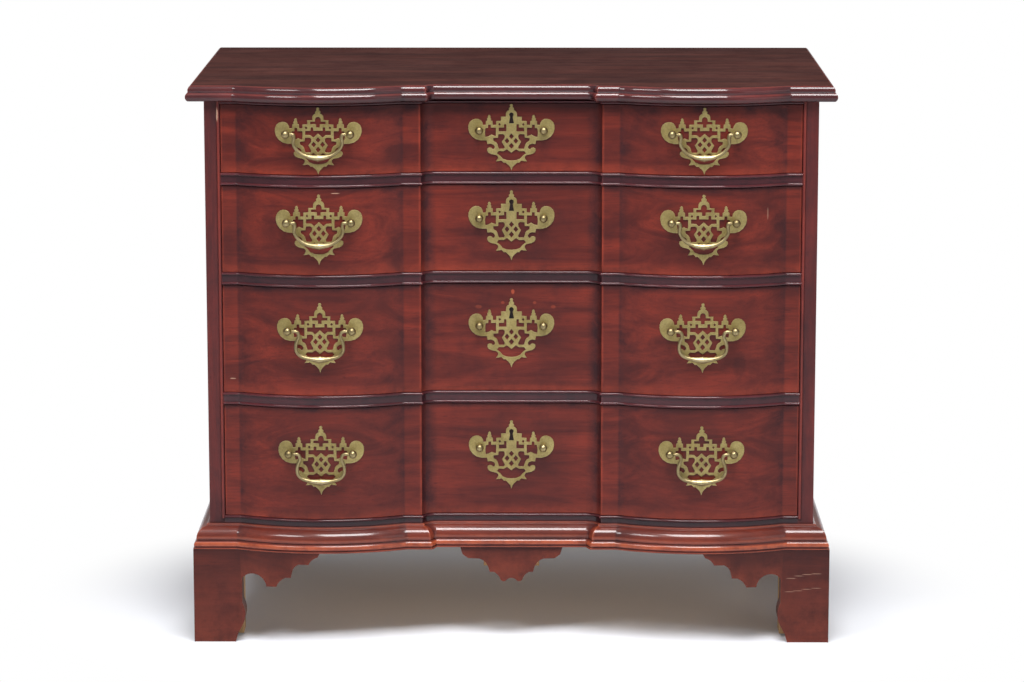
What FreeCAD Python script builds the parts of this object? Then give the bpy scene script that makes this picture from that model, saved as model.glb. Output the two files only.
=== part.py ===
import FreeCAD, Part
import math
import os
import re
import Sketcher

# Block-front chest of four drawers on bracket feet, with pierced brasses.
# Frame: +Z up, the drawers face -Y, the origin is on the floor under the middle of the
# whole chest. Pieces are drawn from the facade plane, which holds the flat ends of the
# drawer fronts, and finish() then moves each piece from there into the chest's frame.

SIZES = {
    # case
    "case_width": 864,
    "case_depth": 500,
    "side_thickness": 22,
    "bottom_thickness": 22,
    "back_thickness": 12,
    "rabbet_width": 10,
    "rail_height": 23,
    "divider_thickness": 17.5,
    "divider_depth": 70,
    "top_rail_thickness": 4.5,
    "housing_depth": 8,
    "housing_stop": 12,
    "opening_1": 98,
    "opening_2": 124.5,
    "opening_3": 155.5,
    "opening_4": 162,
    # top board
    "top_thickness": 22,
    "top_overhang": 15,
    "top_side_extra": 10,
    "top_back_overhang": 5,
    # blocked facade: two swelled blocks beside a recess with coved sides
    "block_outer": 386.6,
    "block_inner": 153.9,
    "block_bow": 27,
    "cove_arris": 128,
    "cove_width": 22,
    "cove_depth": 15,
    # beads round the drawer openings
    "bead_width": 4,
    "bead_rise": 2.5,
    "stile_bead_width": 5,
    # base moulding
    "moulding_height": 34,
    "moulding_projection": 22.5,
    # feet
    "foot_height": 136,
    "foot_thickness": 30.5,
    "rear_brace_width": 95,
    "rear_brace_thickness": 18,
    "rear_brace_toe": 45,
    "rear_brace_shoulder": 25,
    "rear_brace_inset": 6,
    "glue_block_width": 38,
    "glue_block_floor_gap": 5,
    "drop_half_width": 73.5,
    "drop_thickness": 18,
    "drop_setback": 3,
    "drop_block_length": 80,
    "drop_block_thickness": 22,
    "drop_block_height": 32,
    # drawers
    "drawer_setback": 0.5,
    "drawer_side_gap": 1,
    "drawer_top_gap": 0.6,
    "drawer_run_gap": 0.3,
    "front_thickness": 38,
    "hollow_wall": 34,
    "hollow_ledge": 18,
    "drawer_side_thickness": 11,
    "drawer_side_drop": 3,
    "panel_thickness": 7,
    "panel_rise": 9,
    "groove_depth": 5,
    "groove_play": 0.2,
    "dovetail_length": 20,
    "dovetail_flare": 4,
    "dovetail_pin": 4,
    "dovetail_margin": 5,
    "hole_play": 0.2,
    "runner_width": 20,
    "stop_length": 14,
    "stop_height": 14,
    # locks
    "lock_width": 64,
    "lock_height": 42,
    "lock_depth": 10,
    "lock_wall": 2,
    "bolt_width": 20,
    "bolt_thickness": 5,
    "bolt_travel": 7,
    "bolt_play": 0.3,
    "mortise_play": 2.5,
    "keyhole_radius": 2.6,
    "keyhole_rise": 22.6,
    # brasses
    "plate_width": 121.6,
    "plate_height": 100,
    "top_plate_height": 94.5,
    "plate_thickness": 1.6,
    "post_spacing": 91,
    "post_reach": 11.5,
    "post_ball_radius": 5.1,
    "post_neck_radius": 2.6,
    "post_flange_radius": 3.4,
    "post_shank_radius": 2.4,
    "nut_radius": 5.5,
    "nut_thickness": 4,
    "bail_pin_radius": 1.5,
    "bail_pin_play": 0.35,
    "bail_pin_end": 2.2,
    "bail_thickness": 4.6,
    "bail_chamfer": 1.1,
    "plain_bail_drop": 33,
    "swan_bail_drop": 40.5,
    "stud_ball_radius": 4.8,
    "stud_reach": 5.6,
    "stud_neck_radius": 2.6,
    "stud_pin_radius": 1.5,
    "stud_length": 12,
    "handle_rise_1": 10.1,
    "handle_rise_2": 13.8,
    "handle_rise_3": 16.8,
    "handle_rise_4": 16,
}
DRAWERS = (1, 2, 3, 4)
TAIL_COUNTS = {1: 2, 2: 3, 3: 4, 4: 4}

document = FreeCAD.newDocument("BlockFrontChest")
sheet = document.addObject("Spreadsheet::Sheet", "Sizes")
for row, (alias, size) in enumerate(SIZES.items(), 1):
    sheet.set(f"A{row}", alias)
    sheet.set(f"B{row}", str(size))
    sheet.setAlias(f"B{row}", alias)
document.recompute()
nodes = []


def linked(text):
    """An expression with each size named in it read from the sheet."""

    def cell(word):
        name = word.group()
        return "Sizes." + name if name in SIZES else name

    return re.sub(r"[a-z][a-z_0-9]*", cell, str(text))


def number(text):
    return float(sheet.evalExpression(linked(text)))


def bind(piece, prop, text):
    piece.setExpression(prop, linked(text))


def place(piece, x="0", y="0", z="0"):
    for axis, text in zip("xyz", (x, y, z)):
        if text != "0":
            bind(piece, "Placement.Base." + axis, text)
    return piece


HALF_CASE = "case_width / 2"
INNER = f"({HALF_CASE} - side_thickness)"
FACADE_Y = "((block_bow + moulding_projection - case_depth - top_back_overhang) / 2)"
CASE_FLOOR = "(foot_height + bottom_thickness)"
CASE_TOP = (
    f"({CASE_FLOOR} + rail_height + opening_1 + opening_2 + opening_3 + opening_4"
    " + 3 * divider_thickness + top_rail_thickness)"
)
DRAWER_END = "(case_depth - back_thickness - stop_length - drawer_run_gap)"
BLOCK_MIDDLE = "((block_outer + block_inner) / 2)"
COVE_RADIUS = "((cove_width^2 + cove_depth^2) / 2 / cove_depth)"
BLOCK_RADIUS = "((block_outer - block_inner)^2 / 8 / block_bow + block_bow / 2)"
# angle between the six flats that a handle plate is bent into, tangent to its block
PLATE_FOLD = f"(asin(plate_width / 2 / {BLOCK_RADIUS}) / 3)"
PLATE_ARC = f"(({BLOCK_RADIUS} - drawer_setback + plate_thickness) / cos({PLATE_FOLD} / 2))"
HOLLOW_ARC = f"({BLOCK_RADIUS} - hollow_wall)"
ARC_Y = f"({BLOCK_RADIUS} - block_bow)"
DRAWER_HALF = f"({INNER} - drawer_side_gap)"
DRAWER_INSIDE = f"({DRAWER_HALF} - drawer_side_thickness)"
TAIL_FRONT = "(front_thickness - dovetail_length)"
BOLT_Y = "(front_thickness - lock_depth / 2 - bolt_thickness / 2)"


def opening_floor(n):
    """Height of the bottom of drawer opening n. Opening 4 is the lowest."""
    text = f"{CASE_FLOOR} + rail_height"
    for lower in range(n + 1, 5):
        text += f" + opening_{lower} + divider_thickness"
    return f"({text})"


def handle_height(n):
    return f"({opening_floor(n)} + opening_{n} / 2 + handle_rise_{n})"


def attach(owner, role, name, offset=None):
    """A sketch on one of its own body's origin planes."""
    sketch = owner.newObject("Sketcher::SketchObject", name)
    plane = [item for item in owner.Origin.OriginFeatures if item.Role == role][0]
    sketch.AttachmentSupport = (plane, "")
    sketch.MapMode = "FlatFace"
    if offset:
        bind(sketch, "AttachmentOffset.Base.z", offset)
    return sketch


def arc(start, end, bulge):
    """An arc between two points, always counter-clockwise, as a sketch keeps it."""
    along = end - start
    right = FreeCAD.Vector(along.y, -along.x, 0).normalize()
    rise = abs(bulge)
    radius = along.Length**2 / 8 / rise + rise / 2
    centre = (start + end) / 2 - right * math.copysign(radius - rise, bulge)
    ends = (start, end) if bulge > 0 else (end, start)
    angles = [math.atan2(point.y - centre.y, point.x - centre.x) for point in ends]
    if angles[1] < angles[0]:
        angles[1] += 2 * math.pi
    return Part.ArcOfCircle(Part.Circle(centre, FreeCAD.Vector(0, 0, 1), radius), *angles)


def draw(sketch, outline, pinned=True):
    """Adds one closed wire. Each entry is (x, y) or (x, y, bulge), in texts or numbers: the edge
    that starts there is an arc when it has a bulge, which is its rise to the right. Pinned
    wires keep every point tied to the sheet; fine fretwork is drawn in place instead."""
    points = [FreeCAD.Vector(number(p[0]), number(p[1]), 0) for p in outline]
    edges = len(points)
    first = sketch.GeometryCount
    lines, flipped = [], []
    for i in range(edges):
        start, end = points[i], points[(i + 1) % edges]
        bulge = number(outline[i][2]) if len(outline[i]) == 3 else 0
        lines.append(arc(start, end, bulge) if bulge else Part.LineSegment(start, end))
        flipped.append(bulge < 0)
    sketch.addGeometry(lines, False)
    if not pinned:
        return sketch

    def vertex(i, which):
        """Which end, 1 or 2, of edge i lies at the outline's point i (0) or i + 1 (1)."""
        return 2 - which if flipped[i] else 1 + which

    pins, texts = [], {}
    for i in range(edges):
        j = (i + 1) % edges
        ends = (first + i, vertex(i, 1), first + j, vertex(j, 0))
        pins.append(Sketcher.Constraint("Coincident", *ends))
    for i in range(edges):
        end = (first + i, vertex(i, 0))
        for kind, axis, text in (("DistanceX", -2, outline[i][0]), ("DistanceY", -1, outline[i][1])):
            if str(text) == "0":
                pins.append(Sketcher.Constraint("PointOnObject", *end, axis))
                continue
            texts[len(pins)] = text
            pins.append(Sketcher.Constraint(kind, -1, 1, *end, number(text)))
    for i in range(edges):
        if len(outline[i]) == 3:
            a, b = outline[i], outline[(i + 1) % edges]
            chord2 = f"((({a[0]}) - ({b[0]}))^2 + (({a[1]}) - ({b[1]}))^2)"
            radius = f"{chord2} / 8 / abs({a[2]}) + abs({a[2]}) / 2"
            texts[len(pins)] = radius
            pins.append(Sketcher.Constraint("Radius", first + i, number(radius)))
    first_pin = sketch.ConstraintCount
    sketch.addConstraint(pins)
    for i, text in texts.items():
        bind(sketch, f"Constraints[{first_pin + i}]", text)
    return sketch


def negative(text):
    return f"0 - ({text})"


def facade(offset, half_width, cornered=False):
    """The plan line of the facade from left to right, offset outside the facade plane. In
    mouldings, which are cornered, the cove's arc runs out straight to a mitred arris."""
    reach = f"sqrt(block_bow * (2 * ({BLOCK_RADIUS} + {offset}) - block_bow))"
    cove = f"({COVE_RADIUS} - ({offset}))"
    flat = "(cove_arris - cove_width)"
    front, recess = negative(offset), f"cove_depth - ({offset})"
    if cornered:
        lean = f"(({COVE_RADIUS} - cove_depth) / {COVE_RADIUS})"
        arris = f"cove_arris - ({offset}) * (1 - {lean}) * {COVE_RADIUS} / cove_width"
        start = (f"{flat} + {cove} * cove_width / {COVE_RADIUS}", f"0 - {lean} * ({offset})")
        hollow = f"0 - {cove} * (1 - sqrt((1 + {lean}) / 2))"
        left = [(negative(arris), front), (negative(start[0]), start[1], hollow)]
        right = [(flat, recess, hollow), start, (arris, front)]
    else:
        arris = f"({flat} + sqrt(cove_depth * (2 * {cove} - cove_depth)))"
        hollow = f"0 - ({cove} - sqrt({cove}^2 - cove_depth * {cove} / 2))"
        left = [(negative(arris), front, hollow)]
        right = [(flat, recess, hollow), (arris, front)]
    return [
        (negative(half_width), front),
        (f"0 - {BLOCK_MIDDLE} - {reach}", front, "block_bow"),
        (f"{reach} - {BLOCK_MIDDLE}", front),
        *left,
        (negative(flat), recess),
        *right,
        (f"{BLOCK_MIDDLE} - {reach}", front, "block_bow"),
        (f"{BLOCK_MIDDLE} + {reach}", front),
        (half_width, front),
    ]


def mirrored(points):
    """A closed outline from its right half, listed from the top of the middle line down."""
    left = []
    for i in range(len(points) - 2, -1, -1):
        bulge = points[i][2:]
        left.append((-points[i][0], points[i][1], *bulge))
    # the bulge belongs to the edge that starts at a point, so it moves one point back
    halves = [p[:2] for p in points] + [p[:2] for p in left]
    bulges = [p[2] if len(p) > 2 else None for p in points[:-1]]
    bulges = bulges + bulges[::-1]
    if points[0][0] == 0:
        halves = halves[:-1]
    else:
        bulges.append(None)
    return [p + ((b,) if b is not None else ()) for p, b in zip(halves, bulges)]


def new_body(label):
    piece = document.addObject("PartDesign::Body", label)
    piece.Label = label
    return piece


def pad(owner, sketch, length, towards_back=False):
    feature = owner.newObject("PartDesign::Pad", owner.Name + "_pad")
    feature.Profile = sketch
    bind(feature, "Length", length)
    feature.Reversed = towards_back
    return feature


def pocket(owner, sketch, length, along_normal=True):
    feature = owner.newObject("PartDesign::Pocket", owner.Name + "_pocket")
    feature.Profile = sketch
    bind(feature, "Length", length)
    feature.Reversed = along_normal
    return feature


def plan_board(label, outline, height):
    """A board drawn in plan and padded up."""
    piece = new_body(label)
    pad(piece, draw(attach(piece, "XY_Plane", label + "_plan"), outline), height)
    return piece


def elevation_board(label, outlines, depth, pinned=True):
    """A board drawn in front view and padded back, from y = 0."""
    piece = new_body(label)
    sketch = attach(piece, "XZ_Plane", label + "_elevation")
    for outline in outlines:
        draw(sketch, outline, pinned=pinned)
    pad(piece, sketch, depth, towards_back=True)
    return piece


def box(label, x, y, z, length, width, height):
    piece = document.addObject("Part::Box", label)
    bind(piece, "Length", length)
    bind(piece, "Width", width)
    bind(piece, "Height", height)
    return place(piece, x, y, z)


def combine(kind, label, parts):
    """Part::Cut (first less the others), Part::MultiFuse, Part::MultiCommon or Part::Compound."""
    piece = document.addObject(kind, label)
    if kind == "Part::Cut":
        tool = parts[1]
        if len(parts) > 2:
            tool = combine("Part::Compound", label + "_tools", parts[1:])
        piece.Base, piece.Tool = parts[0], tool
    elif kind == "Part::Compound":
        piece.Links = parts
    else:
        piece.Shapes = parts
        piece.Refine = True
    return piece


def mirror_x(label, source):
    piece = document.addObject("Part::Mirroring", label)
    piece.Source = source
    piece.Normal = FreeCAD.Vector(1, 0, 0)
    return piece


def loft(label, sections):
    piece = document.addObject("Part::Loft", label)
    piece.Sections = sections
    piece.Solid = True
    piece.Ruled = True
    return piece


def layered(label, layers, outline):
    """A moulded board: plan outlines, each for its own projection, at rising heights."""
    sections = []
    for out, z in layers:
        sketch = document.addObject("Sketcher::SketchObject", label + "_layer")
        sections.append(place(draw(sketch, outline(out)), "0", "0", z))
    return loft(label, sections)


def finish(piece, label, x="0", y="0", z="0"):
    """Gives a finished piece its name and moves it to its place in the chest's own frame."""
    place(piece, x, f"{FACADE_Y} + {y}", z)
    piece.Label = label
    nodes.append(piece)
    return piece


UPRIGHT = FreeCAD.Rotation(FreeCAD.Vector(1, 0, 0), 90)


# Section of the top board's edge, for a board that is 22 thick and stands out 15: an eased
# lip, a ledge and a rounded ovolo, as (distance out, height) from the underside up.
TOP_EDGE = [(13, 0), (15, 2.8), (15, 9.8), (12, 12.6), (11.8, 17.4), (7.3, 22)]


def make_top():
    half = f"({HALF_CASE} + top_side_extra)"
    back = "case_depth + top_back_overhang"

    def outline(out):
        wide = f"({half} + {out})"
        return facade(out, wide, cornered=True) + [(wide, back), (negative(wide), back)]

    layers = [
        (f"({x} * top_overhang / 15)", f"{z} * top_thickness / 22" if z else "0") for x, z in TOP_EDGE
    ]
    board = layered("top_board", layers, outline)
    mortise = bolt_mortise("top_mortise", "0 - 1", "bolt_travel + 2 - top_rail_thickness")
    finish(combine("Part::Cut", "top_cut", [board, mortise]), "case_top", z=CASE_TOP)


def bolt_mortise(label, z, height):
    """Room for a lock bolt above the drawer front."""
    return box(
        label, "0 - bolt_width / 2 - mortise_play", f"{BOLT_Y} - mortise_play", z,
        "bolt_width + 2 * mortise_play", "bolt_thickness + 2 * mortise_play", height,
    )


def make_side(sign, label):
    def x(text):
        return f"{sign} * ({text})"

    side = new_body(label)
    back, rear = "case_depth", "(case_depth - back_thickness)"
    section = [
        (x(HALF_CASE), "0"),
        (x(HALF_CASE), back),
        (x(f"{INNER} + rabbet_width"), back),
        (x(f"{INNER} + rabbet_width"), rear),
        (x(INNER), rear),
        (x(INNER), "0"),
    ]
    height = f"{CASE_TOP} - foot_height"
    pad(side, draw(attach(side, "XY_Plane", label + "_plan"), section), height)
    bead_start = f"{CASE_FLOOR} + rail_height - bead_width - foot_height"
    outer = x(f"{INNER} + stile_bead_width")
    behind, proud = "bead_rise", "0 - bead_rise"
    bead_plan = [(x(INNER), behind), (x(INNER), proud), (outer, proud), (outer, behind)]
    bead_sketch = attach(side, "XY_Plane", label + "_bead", bead_start)
    pad(side, draw(bead_sketch, bead_plan), f"{height} - ({bead_start})")
    housings = attach(side, "YZ_Plane", label + "_housings", x(INNER))
    for n in (1, 2, 3):
        low = f"{opening_floor(n)} - divider_thickness - foot_height"
        high = f"{opening_floor(n)} - foot_height"
        front, end = "housing_stop", "divider_depth"
        draw(housings, [(front, low), (end, low), (end, high), (front, high)])
    pocket(side, housings, "housing_depth", along_normal=sign > 0)
    finish(side, label, z="foot_height")


def rail_outline(depth, tongue):
    outline = facade("0", INNER)
    if not tongue:
        return outline + [(INNER, depth), (negative(INNER), depth)]
    out = f"{INNER} + housing_depth"
    return outline + [
        (INNER, "housing_stop"),
        (out, "housing_stop"),
        (out, depth),
        (negative(out), depth),
        (negative(out), "housing_stop"),
        (negative(INNER), "housing_stop"),
    ]


def bead(label, z):
    """A cock bead along the facade between the sides, bead_width high from z."""
    behind = "cove_depth + bead_width"
    outline = facade("bead_rise", INNER, cornered=True) + [(INNER, behind), (negative(INNER), behind)]
    return place(plan_board(label, outline, "bead_width"), "0", "0", z)


def make_rails():
    for n in (1, 2, 3):
        board = plan_board(f"divider_{n}_board", rail_outline("divider_depth", True), "divider_thickness")
        upper = bead(f"divider_{n}_upper_bead", "divider_thickness - bead_width")
        lower = bead(f"divider_{n}_lower_bead", "0")
        whole = combine("Part::MultiFuse", f"divider_{n}_beaded", [board, upper, lower])
        room = bolt_mortise(f"divider_{n}_mortise", "0 - 1", "bolt_travel + 2")
        divider = combine("Part::Cut", f"divider_{n}_cut", [whole, room])
        finish(divider, f"drawer_divider_{n}", z=f"{opening_floor(n)} - divider_thickness")
    board = plan_board("top_rail_board", rail_outline("divider_depth", False), "top_rail_thickness")
    whole = combine("Part::MultiFuse", "top_rail_beaded", [board, bead("top_rail_bead", "0")])
    room = bolt_mortise("top_rail_mortise", "0 - 1", "top_rail_thickness + 2")
    top_rail = combine("Part::Cut", "top_rail_cut", [whole, room])
    finish(top_rail, "top_rail", z=f"{CASE_TOP} - top_rail_thickness")
    board = plan_board("bottom_rail_board", rail_outline("divider_depth", False), "rail_height")
    upper = bead("bottom_rail_bead", "rail_height - bead_width")
    finish(combine("Part::MultiFuse", "bottom_rail_beaded", [board, upper]), "bottom_rail", z=CASE_FLOOR)


def make_case_inside():
    rear = "(case_depth - back_thickness)"
    outline = rail_outline(rear, False)
    finish(plan_board("case_bottom_board", outline, "bottom_thickness"), "case_bottom", z="foot_height")
    # three back boards lie in the sides' rabbets, one above the other
    width = f"2 * ({INNER} + rabbet_width)"
    height = f"(({CASE_TOP} - foot_height) / 3)"
    x = f"0 - {INNER} - rabbet_width"
    boards = [
        box(f"back_board_{i}", x, rear, f"{i} * {height}", width, "back_thickness", height)
        for i in range(3)
    ]
    finish(combine("Part::Compound", "back_board_set", boards), "back_boards", z="foot_height")
    rear_rail = box("rear_rail", "0", "0", "0", f"2 * {INNER}", "divider_depth", "top_rail_thickness")
    strip_z = f"{CASE_TOP} - top_rail_thickness"
    finish(rear_rail, "rear_top_rail", negative(INNER), f"{rear} - divider_depth", strip_z)
    runners, stops = [], []
    for n in DRAWERS:
        thickness = "rail_height" if n == 4 else "divider_thickness"
        for side, x in (("left", negative(INNER)), ("right", f"{INNER} - runner_width")):
            z = f"{opening_floor(n)} - {thickness}"
            name = f"runner_{n}_{side}"
            length = f"{rear} - divider_depth"
            runners.append(box(name, x, "divider_depth", z, "runner_width", length, thickness))
            stop = box(
                f"stop_{n}_{side}", x, f"{rear} - stop_length", opening_floor(n),
                "runner_width", "stop_length", "stop_height",
            )
            stops.append(stop)
    # kickers above the top drawer's sides, level with the top rail
    for side, x in (("left", negative(INNER)), ("right", f"{INNER} - runner_width")):
        length = f"{rear} - 2 * divider_depth"
        kicker = box(
            f"kicker_{side}", x, "divider_depth", strip_z, "runner_width", length, "top_rail_thickness"
        )
        runners.append(kicker)
    finish(combine("Part::Compound", "runner_set", runners), "drawer_runners")
    finish(combine("Part::Compound", "stop_set", stops), "drawer_stops")


# Section of the base moulding, 22.5 by 34, as (distance out, height): a flat fascia
# carries an astragal and, above a quirk, an ovolo that dies into a small fillet.
MOULDING_SECTION = [
    (22.5, 0), (22.5, 7.8), (17.2, 9.6), (20.3, 13.2), (15.6, 17.6), (15.6, 22.4),
    (11.6, 29.4), (3, 34),
]


def make_base_moulding():
    """Three runs round the case, each ending in a mitre where it meets the next."""
    layers = [
        (f"({x} * moulding_projection / 22.5)", f"{z} * moulding_height / 34" if z else "0")
        for x, z in MOULDING_SECTION
    ]
    case_line = facade("0", HALF_CASE)
    bulges = [point[2:] for point in case_line]
    behind = [
        (point[0], point[1], *map(negative, bulge))
        for point, bulge in zip(case_line[::-1], bulges[-2::-1] + [()])
    ]

    def front_outline(out):
        return facade(out, f"({HALF_CASE} + {out})", cornered=True) + behind

    front = layered("moulding_front", layers, front_outline)
    finish(front, "base_moulding_front", z="foot_height")
    sides = []
    for sign in (-1, 1):

        def side_outline(out):
            inner, outer = f"{sign} * {HALF_CASE}", f"{sign} * ({HALF_CASE} + {out})"
            return [(inner, "0"), (outer, negative(out)), (outer, "case_depth"), (inner, "case_depth")]

        sides.append(layered("moulding_side", layers, side_outline))
    finish(combine("Part::Compound", "moulding_sides", sides), "base_moulding_sides", z="foot_height")


# Elevation of a bracket foot, counter-clockwise: distance from the chest's corner, height
# on a foot 136 high, and outward bulge of the edge that starts there.
FOOT_OUTLINE = [
    (0, 0), (59, 0), (69.2, 25, 4.3), (69.2, 59), (69.2, 94, -13), (105, 85.4),
    (119.5, 86), (127.6, 90.4), (132.5, 99.6), (140.4, 100), (142.4, 109), (152.4, 119.6),
    (166, 119.6), (179, 130.6), (182, 136), (0, 136),
]
# Right half of the centre drop, clockwise: distance from the middle, depth below the moulding.
DROP_OUTLINE = [
    (0, 0), (73.5, 0), (70, -11), (62, -16.8), (46, -17.5), (37.4, -21.2), (33.4, -29), (31, -37),
    (25, -37), (21.6, -44), (15.5, -48.5), (8, -50), (0, -46),
]


def foot_points(sign, start, height="foot_height"):
    """The foot's outline, with sign -1 for one that runs the other way from its corner."""
    points = []
    for entry in FOOT_OUTLINE:
        x = f"{start} + {sign} * {entry[0]}" if entry[0] else start
        z = height if entry[1] == 136 else f"{entry[1]} / 136 * {height}"
        bulge = (str(sign * entry[2]),) if len(entry) > 2 else ()
        points.append((x, "0" if entry[1] == 0 else z, *bulge))
    return points


def make_feet():
    out = f"({HALF_CASE} + moulding_projection)"
    inner = f"({out} - foot_thickness)"
    back = "(foot_thickness - moulding_projection)"
    reach = f"sqrt(block_bow * (2 * ({BLOCK_RADIUS} + moulding_projection) - block_bow))"
    face = "0 - moulding_projection"
    for side, s in (("left", -1), ("right", 1)):
        # front bracket: front elevation, cut to the blocked plan with its mitre
        corner = f"{s} * {out}"
        name = f"foot_{side}_front_shape"
        shape = elevation_board(name, [foot_points(-s, corner)], "block_bow + foot_thickness + 2")
        place(shape, "0", "0 - moulding_projection - block_bow - 1")
        plan = [
            (corner, face),
            (f"{s} * ({BLOCK_MIDDLE} + {reach})", face, f"{-s} * block_bow"),
            (f"{s} * ({BLOCK_MIDDLE} - {reach})", face),
            (f"{s} * ({BLOCK_MIDDLE} - {reach})", back),
            (f"{s} * {inner}", back),
        ]
        band = plan_board(f"foot_{side}_front_plan", plan, "foot_height")
        front = combine("Part::MultiCommon", f"foot_{side}_front", [shape, band])
        # side bracket: side elevation, mitred to the front one
        profile = new_body(f"foot_{side}_side_shape")
        sketch = attach(profile, "YZ_Plane", f"foot_{side}_side_elevation")
        draw(sketch, foot_points(1, face))
        pad(profile, sketch, f"2 * {out}")
        place(profile, negative(out))
        plan = [
            (corner, face),
            (corner, "case_depth / 2"),
            (f"{s} * {inner}", "case_depth / 2"),
            (f"{s} * {inner}", back),
        ]
        band = plan_board(f"foot_{side}_side_plan", plan, "foot_height")
        flank = combine("Part::MultiCommon", f"foot_{side}_side", [profile, band])
        foot = combine("Part::Compound", f"foot_{side}_set", [front, flank])
        finish(foot, f"front_foot_{side}")


def make_rear_feet():
    out = f"({HALF_CASE} + moulding_projection)"
    inner = f"({out} - foot_thickness)"
    pieces = []
    for side, s in (("left", -1), ("right", 1)):
        bracket = new_body(f"rear_foot_{side}_side")
        start = f"{out} - foot_thickness" if s > 0 else negative(out)
        sketch = attach(bracket, "YZ_Plane", f"rear_foot_{side}_elevation", start)
        draw(sketch, foot_points(-1, "case_depth"))
        pad(bracket, sketch, "foot_thickness")
        brace = [
            (f"{s} * {inner}", "0"),
            (f"{s} * ({inner} - rear_brace_toe)", "0"),
            (f"{s} * ({inner} - rear_brace_width)", "foot_height - rear_brace_shoulder"),
            (f"{s} * ({inner} - rear_brace_width)", "foot_height"),
            (f"{s} * {inner}", "foot_height"),
        ]
        board = elevation_board(f"rear_foot_{side}_brace", [brace], "rear_brace_thickness")
        place(board, "0", "case_depth - rear_brace_inset - rear_brace_thickness")
        pieces += [bracket, board]
    finish(combine("Part::Compound", "rear_feet_set", pieces), "rear_feet")


def make_base_blocks():
    inner = f"({HALF_CASE} + moulding_projection - foot_thickness)"
    front = "(foot_thickness - moulding_projection)"
    rear = "(case_depth - rear_brace_inset - rear_brace_thickness - glue_block_width)"
    size = "glue_block_width"
    blocks = []
    for y_name, y in (("front", front), ("rear", rear)):
        for side, x in (("left", negative(inner)), ("right", f"{inner} - {size}")):
            height = "foot_height - glue_block_floor_gap"
            blocks.append(box(f"block_{y_name}_{side}", x, y, "glue_block_floor_gap", size, size, height))
    face = "cove_depth - moulding_projection + drop_setback"
    drop_back = f"({face} + drop_thickness)"
    block = box(
        "block_drop", "0 - drop_block_length / 2", drop_back, "foot_height - drop_block_height",
        "drop_block_length", "drop_block_thickness", "drop_block_height",
    )
    blocks.append(block)
    finish(combine("Part::Compound", "base_block_set", blocks), "foot_glue_blocks")
    outline = mirrored(DROP_OUTLINE)
    scaled = [(f"{x} * drop_half_width / 73.5" if x else "0", str(z)) for x, z in outline]
    drop = elevation_board("centre_drop_board", [scaled], "drop_thickness")
    finish(drop, "centre_drop", y=face, z="foot_height")


def drawer_height(n):
    return f"(opening_{n} - drawer_run_gap - drawer_top_gap)"


def drawer_floor(n):
    """Height of the lower edge of drawer n."""
    return f"({opening_floor(n)} + drawer_run_gap)"


def plate_height(n):
    return "top_plate_height" if n == 1 else "plate_height"


def small_hole(x, z, radius, sides=6):
    """A small hole for a sketch in front view, with a corner to the right as on the rods."""
    corners = []
    for i in range(sides):
        angle = 360 / sides * i
        corners.append((f"{x} + cos({angle}) * ({radius})", f"{z} + sin({angle}) * ({radius})"))
    return corners


def tails(n):
    """The dovetails of drawer n: heights of each tail's root above the drawer's lower edge."""
    count = TAIL_COUNTS[n]
    low = "(panel_rise + panel_thickness + dovetail_margin)"
    high = f"({drawer_height(n)} - drawer_side_drop - dovetail_margin)"
    pitch = f"(({high} - {low}) / {count})"
    roots = []
    for i in range(count):
        root_low = f"({low} + {pitch} * {i} + dovetail_flare + dovetail_pin / 2)"
        root_high = f"({low} + {pitch} * {i + 1} - dovetail_flare - dovetail_pin / 2)"
        roots.append((root_low, root_high))
    return roots


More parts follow.
